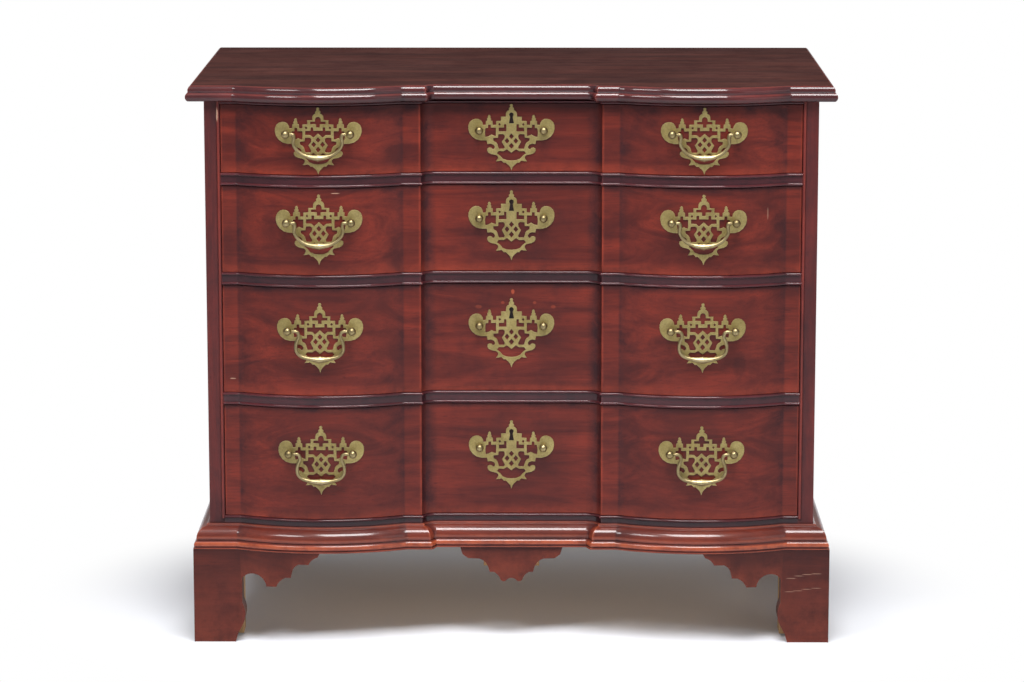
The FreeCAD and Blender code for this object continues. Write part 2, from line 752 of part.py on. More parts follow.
def make_drawer_front(n):
    """Blocked outside and hollowed behind the blocks, with sockets for the sides' tails."""
    half, height = DRAWER_HALF, drawer_height(n)
    back = "front_thickness"
    front = new_body(f"drawer_{n}_front_board")
    outline = facade("0 - drawer_setback", half) + [(half, back), (negative(half), back)]
    pad(front, draw(attach(front, "XY_Plane", f"drawer_{n}_front_plan"), outline), height)

    hollows = attach(front, "XY_Plane", f"drawer_{n}_hollows", "hollow_ledge")
    from_axis = f"({ARC_Y} - {back})"
    chord = f"sqrt({HOLLOW_ARC}^2 - {from_axis}^2)"
    for sign in (-1, 1):
        left, right = f"{sign} * {BLOCK_MIDDLE} - {chord}", f"{sign} * {BLOCK_MIDDLE} + {chord}"
        draw(hollows, [(left, back, f"({HOLLOW_ARC} - {from_axis})"), (right, back)])
    pocket(front, hollows, f"{height} - hollow_ledge + 1")

    for sign in (-1, 1):
        sockets = attach(front, "YZ_Plane", f"drawer_{n}_sockets", f"{sign} * {half}")
        for low, high in tails(n):
            wide_low, wide_high = f"{low} - dovetail_flare", f"{high} + dovetail_flare"
            draw(sockets, [(TAIL_FRONT, wide_low), (back, low), (back, high), (TAIL_FRONT, wide_high)])
        pocket(front, sockets, "drawer_side_thickness", along_normal=sign < 0)

    groove = attach(front, "XY_Plane", f"drawer_{n}_groove", "panel_rise - groove_play / 2")
    tongue = f"{back} - groove_depth - groove_play"
    corners = [(negative(DRAWER_INSIDE), tongue), (DRAWER_INSIDE, tongue)]
    draw(groove, corners + [(DRAWER_INSIDE, back), (negative(DRAWER_INSIDE), back)])
    pocket(front, groove, "panel_thickness + groove_play")

    mortise = attach(front, "XY_Plane", f"drawer_{n}_lock_mortise", f"{height} - lock_height")
    face, side = f"{back} - lock_depth", "lock_width / 2"
    draw(mortise, [(negative(side), face), (side, face), (side, back), (negative(side), back)])
    pocket(front, mortise, "lock_height + 1")

    holes = attach(front, "XZ_Plane", f"drawer_{n}_post_holes", "block_bow + 1")
    row = f"({handle_height(n)} - {drawer_floor(n)})"
    for block in (-1, 1):
        for end in (-1, 1):
            x = f"{block} * {BLOCK_MIDDLE} + {end} * post_spacing / 2"
            draw(holes, small_hole(x, row, "post_shank_radius + hole_play"))
    draw(holes, small_hole("0", f"{row} + keyhole_rise * {plate_height(n)} / 100", "keyhole_radius"))
    pocket(front, holes, f"block_bow + {back} + 2", along_normal=False)
    stud_holes = attach(front, "XZ_Plane", f"drawer_{n}_stud_holes")
    for end in (-1, 1):
        x = f"{end} * post_spacing / 2"
        draw(stud_holes, small_hole(x, row, "stud_pin_radius + hole_play", 4))
    pocket(front, stud_holes, f"{STUD_Y} + stud_length + 1", along_normal=False)
    finish(front, f"drawer_{n}_front", z=drawer_floor(n))


def make_drawer_box(n):
    """The two dovetailed sides, the back between them and the bottom panel."""
    back = "front_thickness"
    drop = f"({drawer_height(n)} - drawer_side_drop)"
    pieces = []
    for sign, side in ((-1, "left"), (1, "right")):
        board = new_body(f"drawer_{n}_side_{side}")
        start = DRAWER_INSIDE if sign > 0 else negative(DRAWER_HALF)
        profile = attach(board, "YZ_Plane", f"drawer_{n}_side_{side}_profile", start)
        outline = [(back, "0"), (DRAWER_END, "0"), (DRAWER_END, drop), (back, drop)]
        for low, high in reversed(tails(n)):
            outline += [(back, high), (TAIL_FRONT, f"{high} + dovetail_flare")]
            outline += [(TAIL_FRONT, f"{low} - dovetail_flare"), (back, low)]
        pad(board, draw(profile, outline), "drawer_side_thickness")
        slot = attach(board, "YZ_Plane", f"drawer_{n}_side_{side}_slot", f"{sign} * {DRAWER_INSIDE}")
        low, high = "panel_rise - groove_play / 2", "panel_rise + panel_thickness + groove_play / 2"
        draw(slot, [(back, low), (DRAWER_END, low), (DRAWER_END, high), (back, high)])
        pocket(board, slot, "groove_depth", along_normal=sign > 0)
        pieces.append(board)
    shelf = "(panel_rise + panel_thickness + groove_play / 2)"
    rear_board = box(
        f"drawer_{n}_back", negative(DRAWER_INSIDE), f"{DRAWER_END} - drawer_side_thickness", shelf,
        f"2 * {DRAWER_INSIDE}", "drawer_side_thickness", f"{drop} - {shelf}",
    )
    carcass = combine("Part::Compound", f"drawer_{n}_box", pieces + [rear_board])
    finish(carcass, f"drawer_{n}_carcass", z=drawer_floor(n))

    reach = f"({DRAWER_INSIDE} + groove_depth - groove_play)"
    start = f"{back} - groove_depth"
    panel = [(negative(reach), back), (negative(DRAWER_INSIDE), back), (negative(DRAWER_INSIDE), start)]
    panel += [(DRAWER_INSIDE, start), (DRAWER_INSIDE, back), (reach, back)]
    panel += [(reach, DRAWER_END), (negative(reach), DRAWER_END)]
    board = plan_board(f"drawer_{n}_panel", panel, "panel_thickness")
    finish(board, f"drawer_{n}_bottom", z=f"{drawer_floor(n)} + panel_rise")


def make_lock(n):
    """A till lock let into the back of the drawer front, level with its top, and its bolt."""
    top = f"{drawer_floor(n)} + {drawer_height(n)}"
    face = "front_thickness - lock_depth"
    case = box(
        f"lock_{n}_blank", "0 - lock_width / 2", face, "0 - lock_height",
        "lock_width", "lock_depth", "lock_height",
    )
    room = box(
        f"lock_{n}_room", "0 - bolt_width / 2 - bolt_play", f"{BOLT_Y} - bolt_play",
        "lock_wall - lock_height", "bolt_width + 2 * bolt_play", "bolt_thickness + 2 * bolt_play",
        "lock_height",
    )
    row = f"{handle_height(n)} - ({top})"
    key = new_body(f"lock_{n}_key")
    sketch = attach(key, "XZ_Plane", f"lock_{n}_keyhole")
    draw(sketch, small_hole("0", f"{row} + keyhole_rise * {plate_height(n)} / 100", "keyhole_radius"))
    pad(key, sketch, BOLT_Y, towards_back=True)
    finish(combine("Part::Cut", f"lock_{n}_case", [case, room, key]), f"drawer_{n}_lock", z=top)
    bolt = box(
        f"lock_{n}_bolt", "0", "0", "0", "bolt_width", "bolt_thickness",
        "lock_height - lock_wall - 2 * bolt_play",
    )
    low = f"{top} - lock_height + lock_wall + bolt_play"
    finish(bolt, f"drawer_{n}_lock_bolt", "0 - bolt_width / 2", BOLT_Y, low)


# Right half of the pierced plates, in mm on a plate 121.6 wide and 100 high, listed
# clockwise: distance from the middle, height above the posts, and the bulge of the edge
# that starts there, towards the inside when positive.
PLATE_EDGE = [
    (0, 39.3), (4.2, 32.6), (7.6, 26.6), (7.6, 20.6), (14.5, 20.6), (14.5, 13.6), (20.8, 13.6),
    (26, 10.2), (27.8, 19.6), (30.6, 24.6), (33.4, 19.6), (35.4, 10.2), (41, 12.6, -8),
    (60.8, 5, -4.5), (44, -13.8), (34.2, -14.2), (29.6, -20.2), (25.4, -30.8), (33.4, -28.2),
    (24.5, -38), (19.6, -38.6), (21.6, -47.8), (12, -50.8), (0, -60.7),
]
# Piercings that cross the middle line, as right halves from the top down.
CROSS_HOLES = [
    [(0, 21), (3.7, 17.1), (10.4, 17.1), (10.4, 12.8), (3.6, 12.8), (0, 7.8)],
    [(0, 3.8), (17.6, 3.8), (17.6, -2.8), (0, -2.8)],
]
LOWER_HOLE = [(0, -31.8), (20.6, -31.8), (17, -38.2), (0, -45.6)]
KEYHOLE = [(0, 25.8), (2.9, 22.9), (1.4, 20.4), (2.3, 15.8), (0, 15.8)]
# Piercings of the right half, repeated on the left.
SIDE_HOLES = [
    [(22.4, 4.6), (35, 4.6), (35, -6.4), (22.4, -9)],
    [(4.8, -7.2), (17.6, -7.2), (24.2, -12), (19.4, -27.8), (5, -27.8), (13, -17.5)],
]
ESCUTCHEON_HOLE = [(7, 9), (17.6, 5.2), (17.6, -2.8), (7, -2.8)]


def plate_wires(height, middle_holes, side_holes, post_hole, x="0"):
    """A plate's wires, as texts, for a sketch in front view."""
    wires = [mirrored(half) for half in [PLATE_EDGE] + middle_holes]
    for hole in side_holes:
        wires += [hole, [(-point[0], point[1]) for point in hole]]

    def scaled(point):
        across = f"{x} + ({point[0]}) * plate_width / 121.6"
        return (across, f"({point[1]}) * {height} / 100", *map(str, point[2:]))

    wires = [[scaled(point) for point in wire] for wire in wires]
    for end in (-1, 1):
        wires.append(small_hole(f"{x} + {end} * post_spacing / 2", "0", *post_hole))
    return wires


def bent_strip(name):
    """A tall strip as thick as a plate, bent in six flats round the right-hand block."""
    corners = []
    for layer, order in (("0", range(-3, 4)), ("plate_thickness", range(3, -4, -1))):
        radius = f"(({BLOCK_RADIUS} - drawer_setback + {layer}) / cos({PLATE_FOLD} / 2))"
        for i in order:
            turn = f"{i} * {PLATE_FOLD}"
            x = f"{BLOCK_MIDDLE} + {radius} * sin({turn})" if i else BLOCK_MIDDLE
            corners.append((x, f"{ARC_Y} - {radius} * cos({turn})"))
    return place(plan_board(name, corners, "3 * plate_height"), "0", "0", "0 - 1.5 * plate_height")


def make_plates(name, height, drawers):
    """Handle plates bent to the block, and flat escutcheons on the recess."""
    post_hole = ("post_shank_radius + hole_play", 6)
    wires = plate_wires(height, CROSS_HOLES + [LOWER_HOLE], SIDE_HOLES, post_hole, BLOCK_MIDDLE)
    blank = elevation_board(f"{name}_plate_blank", wires, "block_bow", pinned=False)
    place(blank, "0", "0 - block_bow - plate_thickness - 2")
    right = combine("Part::MultiCommon", f"{name}_plate_right", [blank, bent_strip(f"{name}_strip")])
    left = mirror_x(f"{name}_plate_left", right)
    stud_hole = ("stud_pin_radius + hole_play", 4)
    wires = plate_wires(height, [KEYHOLE, LOWER_HOLE], SIDE_HOLES + [ESCUTCHEON_HOLE], stud_hole)
    flat = elevation_board(f"{name}_escutcheon_blank", wires, "plate_thickness", pinned=False)
    place(flat, "0", STUD_Y)
    for n in drawers:
        pair = combine("Part::Compound", f"plate_pair_{n}", [left, right])
        finish(pair, f"drawer_{n}_handle_plates", z=handle_height(n))
        single = combine("Part::Compound", f"escutcheon_copy_{n}", [flat])
        finish(single, f"drawer_{n}_escutcheon", z=handle_height(n))


SEAT_Y = f"({ARC_Y} - sqrt({PLATE_ARC}^2 - (post_spacing / 2 - post_flange_radius)^2))"
BAIL_Y = f"({SEAT_Y} - post_reach)"
NUT_Y = f"({ARC_Y} - sqrt({HOLLOW_ARC}^2 - (post_spacing / 2 + nut_radius)^2))"
STUD_Y = "(cove_depth + drawer_setback - plate_thickness)"


def prism(label, sides, radius, length, y="0"):
    """A many-sided rod along Y, from y towards the back."""
    piece = document.addObject("Part::Prism", label)
    piece.Polygon = sides
    bind(piece, "Circumradius", radius)
    bind(piece, "Height", length)
    piece.Placement = FreeCAD.Placement(FreeCAD.Vector(), UPRIGHT.inverted())
    return place(piece, "0", y)


def ball_head(label, ball, reach, neck, flange):
    """A six-sided ball on a waisted neck, reach in front of its flange at y = 0."""
    sections = [
        (f"0 - {reach} - 0.9 * {ball}", f"0.44 * {ball}"),
        (f"0 - {reach} - 0.4 * {ball}", f"0.95 * {ball}"),
        (f"0.4 * {ball} - {reach}", f"0.95 * {ball}"),
        (f"0.9 * {ball} - {reach}", neck),
        (f"0 - {flange} / 3", flange),
        ("0", flange),
    ]
    rings = []
    for y, radius in sections:
        ring = document.addObject("Part::RegularPolygon", label + "_ring")
        ring.Polygon = 6
        bind(ring, "Circumradius", radius)
        ring.Placement = FreeCAD.Placement(FreeCAD.Vector(), UPRIGHT)
        rings.append(place(ring, "0", y))
    return loft(label, rings)


def make_posts():
    flange = "post_flange_radius"
    head = ball_head("post_head", "post_ball_radius", "post_reach", "post_neck_radius", flange)
    length = f"{NUT_Y} - {SEAT_Y} + nut_thickness"
    shank = prism("post_shank", 6, "post_shank_radius", f"{length} + 1", "0 - 1")
    whole = combine("Part::MultiFuse", "post_whole", [head, shank])
    pin_room = "bail_pin_radius + bail_pin_play"
    bore = box(
        "post_bore", "bail_pin_end - bail_pin_play", f"0 - post_reach - ({pin_room})", f"0 - ({pin_room})",
        "post_ball_radius", f"2 * ({pin_room})", f"2 * ({pin_room})",
    )
    post = combine("Part::Cut", "post_drilled", [whole, bore])
    nut_bore = prism("nut_bore", 6, "post_shank_radius + hole_play", "nut_thickness + 2", "0 - 1")
    nut_blank = prism("nut_blank", 6, "nut_radius", "nut_thickness")
    nut = combine("Part::Cut", "nut", [nut_blank, nut_bore])
    stud_head = ball_head("stud_head", "stud_ball_radius", "stud_reach", "stud_neck_radius", flange)
    stud_pin = prism("stud_pin", 4, "stud_pin_radius", "stud_length + 1", "0 - 1")
    stud = combine("Part::MultiFuse", "stud", [stud_head, stud_pin])
    # a post whose bail hole faces +X stands at each handle's left end, its mirror at the right
    pair = []
    for sign, source in ((-1, post), (1, mirror_x("post_mirrored", post))):
        for item, y in ((source, SEAT_Y), (nut, NUT_Y)):
            copy = combine("Part::Compound", "handle_post_item", [item])
            pair.append(place(copy, f"{sign} * post_spacing / 2", y))
    handle = combine("Part::Compound", "handle_posts", pair)
    for n in DRAWERS:
        pieces = []
        for sign in (-1, 1):
            copy = combine("Part::Compound", f"handle_posts_{n}", [handle])
            pieces.append(place(copy, f"{sign} * {BLOCK_MIDDLE}"))
            copy = combine("Part::Compound", f"stud_{n}", [stud])
            pieces.append(place(copy, f"{sign} * post_spacing / 2", STUD_Y))
        finish(combine("Part::Compound", f"post_set_{n}", pieces), f"drawer_{n}_posts", z=handle_height(n))


# Centre lines of the bails' right halves, from the arm's top end to the middle of the grip:
# distance from the middle and height against the pins, on a bail 33 or 40.5 deep whose pins
# stand in posts 91 apart, and half the bar's width there.
PLAIN_BAIL = [
    (38, 2.2, 1.9), (37.6, -7, 1.9), (36.2, -15, 2), (32, -24, 2.3), (20.5, -31, 2.9), (0, -33, 3.4),
]
SWAN_BAIL = [
    (40.2, 0, 1.9), (34.6, 0.6, 2.1), (30.8, -1.4, 2.2), (29.9, -6.4, 2.1), (33, -14, 2),
    (34.4, -22, 2.1), (31.6, -31, 2.5), (19, -38.4, 3.2), (0, -40.5, 3.9),
]


def bail_outline(half, drop, depth):
    """The bar's outline in front view, half its width to each side of its centre line."""
    outer, inner = [], []
    for i, (x, z, half_width) in enumerate(half):
        before, after = half[max(i - 1, 0)], half[min(i + 1, len(half) - 1)]
        along = FreeCAD.Vector(after[0] - before[0], after[1] - before[1], 0).normalize()
        if x == 0:
            along = FreeCAD.Vector(-1, 0, 0)
        outer.append((x - along.y * half_width, z + along.x * half_width))
        inner.append((x + along.y * half_width, z - along.x * half_width))
    line = outer + [(-x, z) for x, z in outer[-2::-1]]
    line += [(-x, z) for x, z in inner] + inner[-2::-1]
    return [(f"({x:.3f}) * post_spacing / 91", f"({z:.3f}) * {drop} / {depth}") for x, z in line]


def make_bail(name, half, drop, depth):
    """A chamfered bar hung on two round pins, which lie on the X axis."""
    bar = new_body(name + "_bar")
    sketch = attach(bar, "XZ_Plane", name + "_elevation", "bail_thickness / 2")
    pad(bar, draw(sketch, bail_outline(half, drop, depth)), "bail_thickness", towards_back=True)
    document.recompute()
    flat_sides = [
        f"Face{i}" for i, face in enumerate(bar.Tip.Shape.Faces, 1) if abs(face.normalAt(0, 0).y) > 0.9
    ]
    edge = bar.newObject("PartDesign::Chamfer", name + "_chamfer")
    edge.Base = (bar.Group[-2], flat_sides)
    bind(edge, "Size", "bail_chamfer")
    pins = []
    start = f"({half[0][0]} * post_spacing / 91 - bail_pin_radius / 3)"
    for sign in (-1, 1):
        pin = document.addObject("Part::Cylinder", name + "_pin")
        bind(pin, "Radius", "bail_pin_radius")
        bind(pin, "Height", f"post_spacing / 2 - bail_pin_end - {start}")
        outward = FreeCAD.Rotation(FreeCAD.Vector(0, 1, 0), 90 * sign)
        pin.Placement = FreeCAD.Placement(FreeCAD.Vector(), outward)
        pins.append(place(pin, f"{sign} * {start}"))
    return combine("Part::MultiFuse", name, [bar] + pins)


def make_bails():
    plain = make_bail("plain_bail", PLAIN_BAIL, "plain_bail_drop", 33)
    swan = make_bail("swan_bail", SWAN_BAIL, "swan_bail_drop", 40.5)
    for n in DRAWERS:
        for side, sign in (("left", -1), ("right", 1)):
            bail = combine("Part::Compound", f"bail_{n}_{side}", [plain if n < 3 else swan])
            x = f"{sign} * {BLOCK_MIDDLE}"
            finish(bail, f"drawer_{n}_bail_{side}", x=x, y=BAIL_Y, z=handle_height(n))


make_top()
make_side(-1, "case_side_left")
make_side(1, "case_side_right")
make_rails()
make_case_inside()
make_base_moulding()
make_feet()
make_rear_feet()
make_base_blocks()
for drawer in DRAWERS:
    make_drawer_front(drawer)
    make_drawer_box(drawer)
    make_lock(drawer)
make_plates("top_drawer", "top_plate_height", (1,))
make_plates("lower_drawer", "plate_height", (2, 3, 4))
make_posts()
make_bails()

document.recompute()
for item in document.Objects:
    if "Invalid" in item.State or "Error" in item.State:
        raise RuntimeError(f"{item.Name} ({item.Label}) failed: {item.State}")
os.makedirs("parts", exist_ok=True)
for piece in nodes:
    shape = piece.Shape
    if shape.isNull() or not shape.isValid() or not shape.Solids:
        raise RuntimeError(f"{piece.Label} has no valid solid")
for piece in nodes:
    piece.Shape.exportStep(f"parts/{piece.Label}.step")
    print(f"{piece.Label}: {len(piece.Shape.Solids)} solids, {piece.Shape.Volume / 1000:.1f} cm3")
print(f"{len(nodes)} nodes")
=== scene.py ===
import math

import bmesh
import bpy
from mathutils import Matrix, Vector


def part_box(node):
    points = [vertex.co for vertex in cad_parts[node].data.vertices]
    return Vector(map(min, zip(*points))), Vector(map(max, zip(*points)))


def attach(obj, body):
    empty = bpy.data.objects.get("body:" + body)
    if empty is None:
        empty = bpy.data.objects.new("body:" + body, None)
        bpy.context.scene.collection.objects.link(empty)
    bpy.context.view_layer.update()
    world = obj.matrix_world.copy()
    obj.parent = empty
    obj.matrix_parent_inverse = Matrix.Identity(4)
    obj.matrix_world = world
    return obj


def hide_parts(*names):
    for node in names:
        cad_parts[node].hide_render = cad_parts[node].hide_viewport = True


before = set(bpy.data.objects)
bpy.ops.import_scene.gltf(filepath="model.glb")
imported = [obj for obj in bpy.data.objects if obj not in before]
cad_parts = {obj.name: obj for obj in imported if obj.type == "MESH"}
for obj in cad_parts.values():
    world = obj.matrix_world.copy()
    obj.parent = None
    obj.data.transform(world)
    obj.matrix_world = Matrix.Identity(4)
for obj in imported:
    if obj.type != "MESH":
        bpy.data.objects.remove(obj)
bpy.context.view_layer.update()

mm = 0.001
quarter = math.radians(90)
stepRise = 0.01 * mm         # the least height of a step between two layers of a board
drawers = (1, 2, 3, 4)
print("frame loaded:", len(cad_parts), "nodes")


# small helpers

def linked(name, data):
    holder = bpy.data.objects.new(name, data)
    bpy.context.collection.objects.link(holder)
    return holder


def addPiece(name, mesh, material=None, smoothTo=38):
    piece = linked(name, mesh)
    if material:
        mesh.materials.clear()
        mesh.materials.append(material)
    if smoothTo:
        softShade(mesh, smoothTo)
    return piece


def settle(piece, body, node=None):
    # the CAD node that the piece stands for is hidden, and the piece moves with its body
    if node:
        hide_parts(node)
    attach(piece, body)


def softShade(mesh, degrees):
    # smooth faces, but an edge that turns more than this stays crisp
    work = bmesh.new()
    work.from_mesh(mesh)
    for edge in work.edges:
        edge.smooth = len(edge.link_faces) == 2 and edge.calc_face_angle(0) < math.radians(degrees)
    for face in work.faces:
        face.smooth = True
    work.to_mesh(mesh)
    work.free()


def meshFrom(name, vertices, faces, wearAndSheen=None, grimeAndShade=None):
    mesh = bpy.data.meshes.new(name)
    mesh.from_pydata(vertices, [], faces)
    for label, values in (("wearAndSheen", wearAndSheen), ("grimeAndShade", grimeAndShade)):
        if values:
            layer = mesh.attributes.new(label, "FLOAT", "POINT")
            layer.data.foreach_set("value", values)
    mesh.update()
    return mesh


def tidyNormals(mesh):
    work = bmesh.new()
    work.from_mesh(mesh)
    bmesh.ops.remove_doubles(work, verts=work.verts, dist=1e-6)
    bmesh.ops.recalc_face_normals(work, faces=work.faces)
    work.to_mesh(mesh)
    work.free()


def joined(meshes, name):
    # several meshes as one, their attributes kept
    holders = [linked(name, mesh) for mesh in meshes]
    with bpy.context.temp_override(active_object=holders[0], selected_editable_objects=holders):
        bpy.ops.object.join()
    mesh = holders[0].data
    bpy.data.objects.remove(holders[0])
    mesh.name = name
    return mesh


def joinedPieces(pieces, name):
    mesh = joined([piece.data for piece in pieces], name)
    for piece in pieces:
        bpy.data.objects.remove(piece)
    return mesh


def baked(piece):
    # the modifiers' result as the piece's own plain mesh
    graph = bpy.context.evaluated_depsgraph_get()
    mesh = bpy.data.meshes.new_from_object(piece.evaluated_get(graph))
    piece.modifiers.clear()
    if piece.type == "MESH":
        piece.data = mesh
    return mesh


def cut(piece, cutters):
    # takes the cutters' room out of a board
    for cutter in cutters:
        step = piece.modifiers.new("cut", "BOOLEAN")
        step.operation, step.solver, step.object = "DIFFERENCE", "MANIFOLD", cutter
    finish = piece.data.materials[0]
    baked(piece)
    piece.data.materials.clear()
    piece.data.materials.append(finish)
    for face in piece.data.polygons:
        face.material_index = 0
    for cutter in cutters:
        bpy.data.objects.remove(cutter)
    softShade(piece.data, 38)


def block3d(low, high):
    # a plain block of room
    corners = [(x, y, z) for x in (low[0], high[0]) for y in (low[1], high[1]) for z in (low[2], high[2])]
    faces = [(0, 1, 3, 2), (4, 6, 7, 5), (0, 4, 5, 1), (2, 3, 7, 6), (0, 2, 6, 4), (1, 5, 7, 3)]
    return addPiece("room", meshFrom("room", corners, faces), smoothTo=None)


def outlinePoints(entries, turn=0.22):
    # (x, z) points; one with a third number starts an arc that rises that far to the right,
    # drawn in steps of at most this turn
    points = []
    for i, entry in enumerate(entries):
        start = Vector(entry[:2])
        points.append(tuple(start))
        if len(entry) < 3 or i + 1 == len(entries):
            continue
        end, rise = Vector(entries[i + 1][:2]), entry[2]
        along = end - start
        right = Vector((along.y, -along.x)).normalized()
        radius = along.length ** 2 / 8 / abs(rise) + abs(rise) / 2
        centre = (start + end) / 2 - right * math.copysign(radius - abs(rise), rise)
        sweep = 2 * math.asin(min(1, along.length / 2 / radius))
        if abs(rise) > radius:
            sweep = 2 * math.pi - sweep
        steps = max(2, math.ceil(sweep / turn))
        spoke = start - centre
        for k in range(1, steps):
            angle = math.copysign(sweep, rise) * k / steps
            points.append(tuple(centre + Matrix.Rotation(angle, 2) @ spoke))
    return points


def mirroredOutline(half):
    # a closed outline from its right half, which runs from the middle line round to it
    points = outlinePoints(half)
    left = [(-x, z) for x, z in reversed(points) if x > 1e-9]
    return points + left


# shader nodes

def tone(red, green, blue):
    # a colour as it is read off a colour chart, turned linear for the shaders
    linear = [c / 255 / 12.92 if c < 11 else ((c / 255 + 0.055) / 1.055) ** 2.4 for c in (red, green, blue)]
    return (*linear, 1)


def newGroup(name, inputs, outputs):
    # a number makes a number socket, and anything else a vector; outputs are numbers
    group = bpy.data.node_groups.new(name, "ShaderNodeTree")
    for label, value in inputs.items():
        kind = "NodeSocketFloat" if isinstance(value, float) else "NodeSocketVector"
        socket = group.interface.new_socket(label, in_out="INPUT", socket_type=kind)
        if value is not None:
            socket.default_value = value
    for label in outputs:
        group.interface.new_socket(label, in_out="OUTPUT", socket_type="NodeSocketFloat")
    return group, group.nodes.new("NodeGroupInput").outputs, group.nodes.new("NodeGroupOutput").inputs


def wire(tree, start, end):
    tree.links.new(start, end)


def feed(tree, socket, value):
    # a socket takes another's output or a plain value
    if isinstance(value, (int, float, tuple)):
        socket.default_value = value
    elif value is not None:
        wire(tree, value, socket)


def mathNode(tree, operation, *values, clamp=False):
    node = tree.nodes.new("ShaderNodeMath")
    node.operation, node.use_clamp = operation, clamp
    for socket, value in zip(node.inputs, values):
        feed(tree, socket, value)
    return node.outputs[0]


def times(tree, first, second, clamp=False):
    return mathNode(tree, "MULTIPLY", first, second, clamp=clamp)


def vectorNode(tree, operation, *vectors):
    node = tree.nodes.new("ShaderNodeVectorMath")
    node.operation = operation
    for socket, vector in zip(node.inputs, vectors):
        wire(tree, vector, socket)
    return node.outputs["Value" if operation == "LENGTH" else "Vector"]


def noise(tree, vector, scale, detail=4.0, roughness=0.6, distortion=0.0):
    node = tree.nodes.new("ShaderNodeTexNoise")
    node.inputs["Detail"].default_value = detail
    node.inputs["Roughness"].default_value = roughness
    for label, value in (("Vector", vector), ("Scale", scale), ("Distortion", distortion)):
        feed(tree, node.inputs[label], value)
    return node.outputs["Fac"]


def between(tree, value, low, high, outLow=0.0, outHigh=1.0):
    node = tree.nodes.new("ShaderNodeMapRange")
    node.interpolation_type = "SMOOTHSTEP"
    wire(tree, value, node.inputs["Value"])
    for label, number in (("From Min", low), ("From Max", high), ("To Min", outLow), ("To Max", outHigh)):
        node.inputs[label].default_value = number
    return node.outputs["Result"]


def blend(tree, amount, first, second):
    node = tree.nodes.new("ShaderNodeMix")
    node.data_type = "RGBA"
    colours = [socket for socket in node.inputs if socket.type == "RGBA"]
    for socket, value in ((node.inputs[0], amount), (colours[0], first), (colours[1], second)):
        feed(tree, socket, value)
    return [socket for socket in node.outputs if socket.type == "RGBA"][0]


def stretched(tree, vector, scale, turn=(0, 0, 0)):
    node = tree.nodes.new("ShaderNodeMapping")
    node.inputs["Scale"].default_value = scale
    node.inputs["Rotation"].default_value = turn
    wire(tree, vector, node.inputs["Vector"])
    return node.outputs["Vector"]


def useGroup(tree, group, values):
    node = tree.nodes.new("ShaderNodeGroup")
    node.node_tree = group
    for label, value in values.items():
        feed(tree, node.inputs[label], value)
    return node.outputs


# effects that several finishes share

def buildGrainGroup():
    # wood figure along the vector's X: broad streaks, fine lines, open pores and slow clouds
    inputs = {"Vector": None, "Fineness": 1.0, "Swirl": 1.0}
    group, given, result = newGroup("woodFigure", inputs, ("Streak", "Line", "Pore", "Cloud"))
    swirled = {"detail": 5, "roughness": 0.62, "distortion": given["Swirl"]}
    layers = [
        # the figure's scale along and across, its fineness, the noise's settings and the range kept of it
        ("Streak", (1.6, 14, 14), 2.2, swirled, 0.3, 0.7),
        ("Line", (5, 170, 170), 2.0, {"detail": 3, "distortion": 0.3}, 0.3, 0.7),
        ("Pore", (45, 700, 700), 1.4, {"detail": 2, "roughness": 0.5}, 0.6, 0.72),
    ]
    for label, drawn, scale, settings, low, high in layers:
        long = stretched(group, given["Vector"], drawn)
        figure = noise(group, long, times(group, given["Fineness"], scale), **settings)
        wire(group, between(group, figure, low, high), result[label])
    cloud = noise(group, given["Vector"], 7.0, detail=3, roughness=0.5, distortion=0.6)
    wire(group, between(group, cloud, 0.3, 0.72), result["Cloud"])
    return group


def buildSpotGroup():
    # 1 inside an ellipsoid, fading to 0 at its edge, with a ragged outline
    inputs = {"Vector": None, "Centre": (0, 0, 0), "Size": (0.01, 0.01, 0.01), "Ragged": 0.4}
    group, given, result = newGroup("spotMark", inputs, ["Mask"])
    shifted = vectorNode(group, "SUBTRACT", given["Vector"], given["Centre"])
    length = vectorNode(group, "LENGTH", vectorNode(group, "DIVIDE", shifted, given["Size"]))
    rough = times(group, noise(group, given["Vector"], 260, detail=3), given["Ragged"])
    away = mathNode(group, "ADD", length, rough)
    wire(group, between(group, away, 0.75, 1.25, 1.0, 0.0), result["Mask"])
    return group


def buildRubGroup():
    # where handling has rubbed an edge, and where a painted highlight lies on a nose or rim: the piece's own
    # wear value, broken up by noise
    inputs = {"Vector": None, "WearAndSheen": 0.0, "Reach": 1.0}
    group, given, result = newGroup("rubbedEdgeAndSheen", inputs, ["Mask"])
    patches = noise(group, given["Vector"], 38, detail=5, roughness=0.7)
    both = times(group, given["WearAndSheen"], between(group, patches, 0.32, 0.62, 0.35, 1.0))
    wire(group, times(group, both, given["Reach"], clamp=True), result["Mask"])
    return group


def buildDirtGroup():
    # old polish and dust spread as slow blotches, and the piece's own marked darkening packed in hollows,
    # which is mostly painted shade in coves, grooves and under overhangs
    inputs = {"Vector": None, "HollowShadeAndDirt": 0.0, "Spread": 0.3}
    group, given, result = newGroup("settledDirtAndShade", inputs, ["Mask"])
    blotch = between(group, noise(group, given["Vector"], 26, detail=5, roughness=0.68), 0.42, 0.75)
    some = times(group, blotch, given["Spread"])
    packed = times(group, given["HollowShadeAndDirt"], between(group, blotch, 0, 1, 0.65, 1.0))
    wire(group, mathNode(group, "ADD", some, packed, clamp=True), result["Mask"])
    return group


woodFigure = buildGrainGroup()
spotMark = buildSpotGroup()
rubbedEdgeAndSheen = buildRubGroup()
settledDirtAndShade = buildDirtGroup()


# finishes

def startMaterial(name):
    material = bpy.data.materials.new(name)
    material.use_nodes = True
    tree = material.node_tree
    place = tree.nodes.new("ShaderNodeTexCoord").outputs["Object"]
    return material, tree, tree.nodes["Principled BSDF"], place


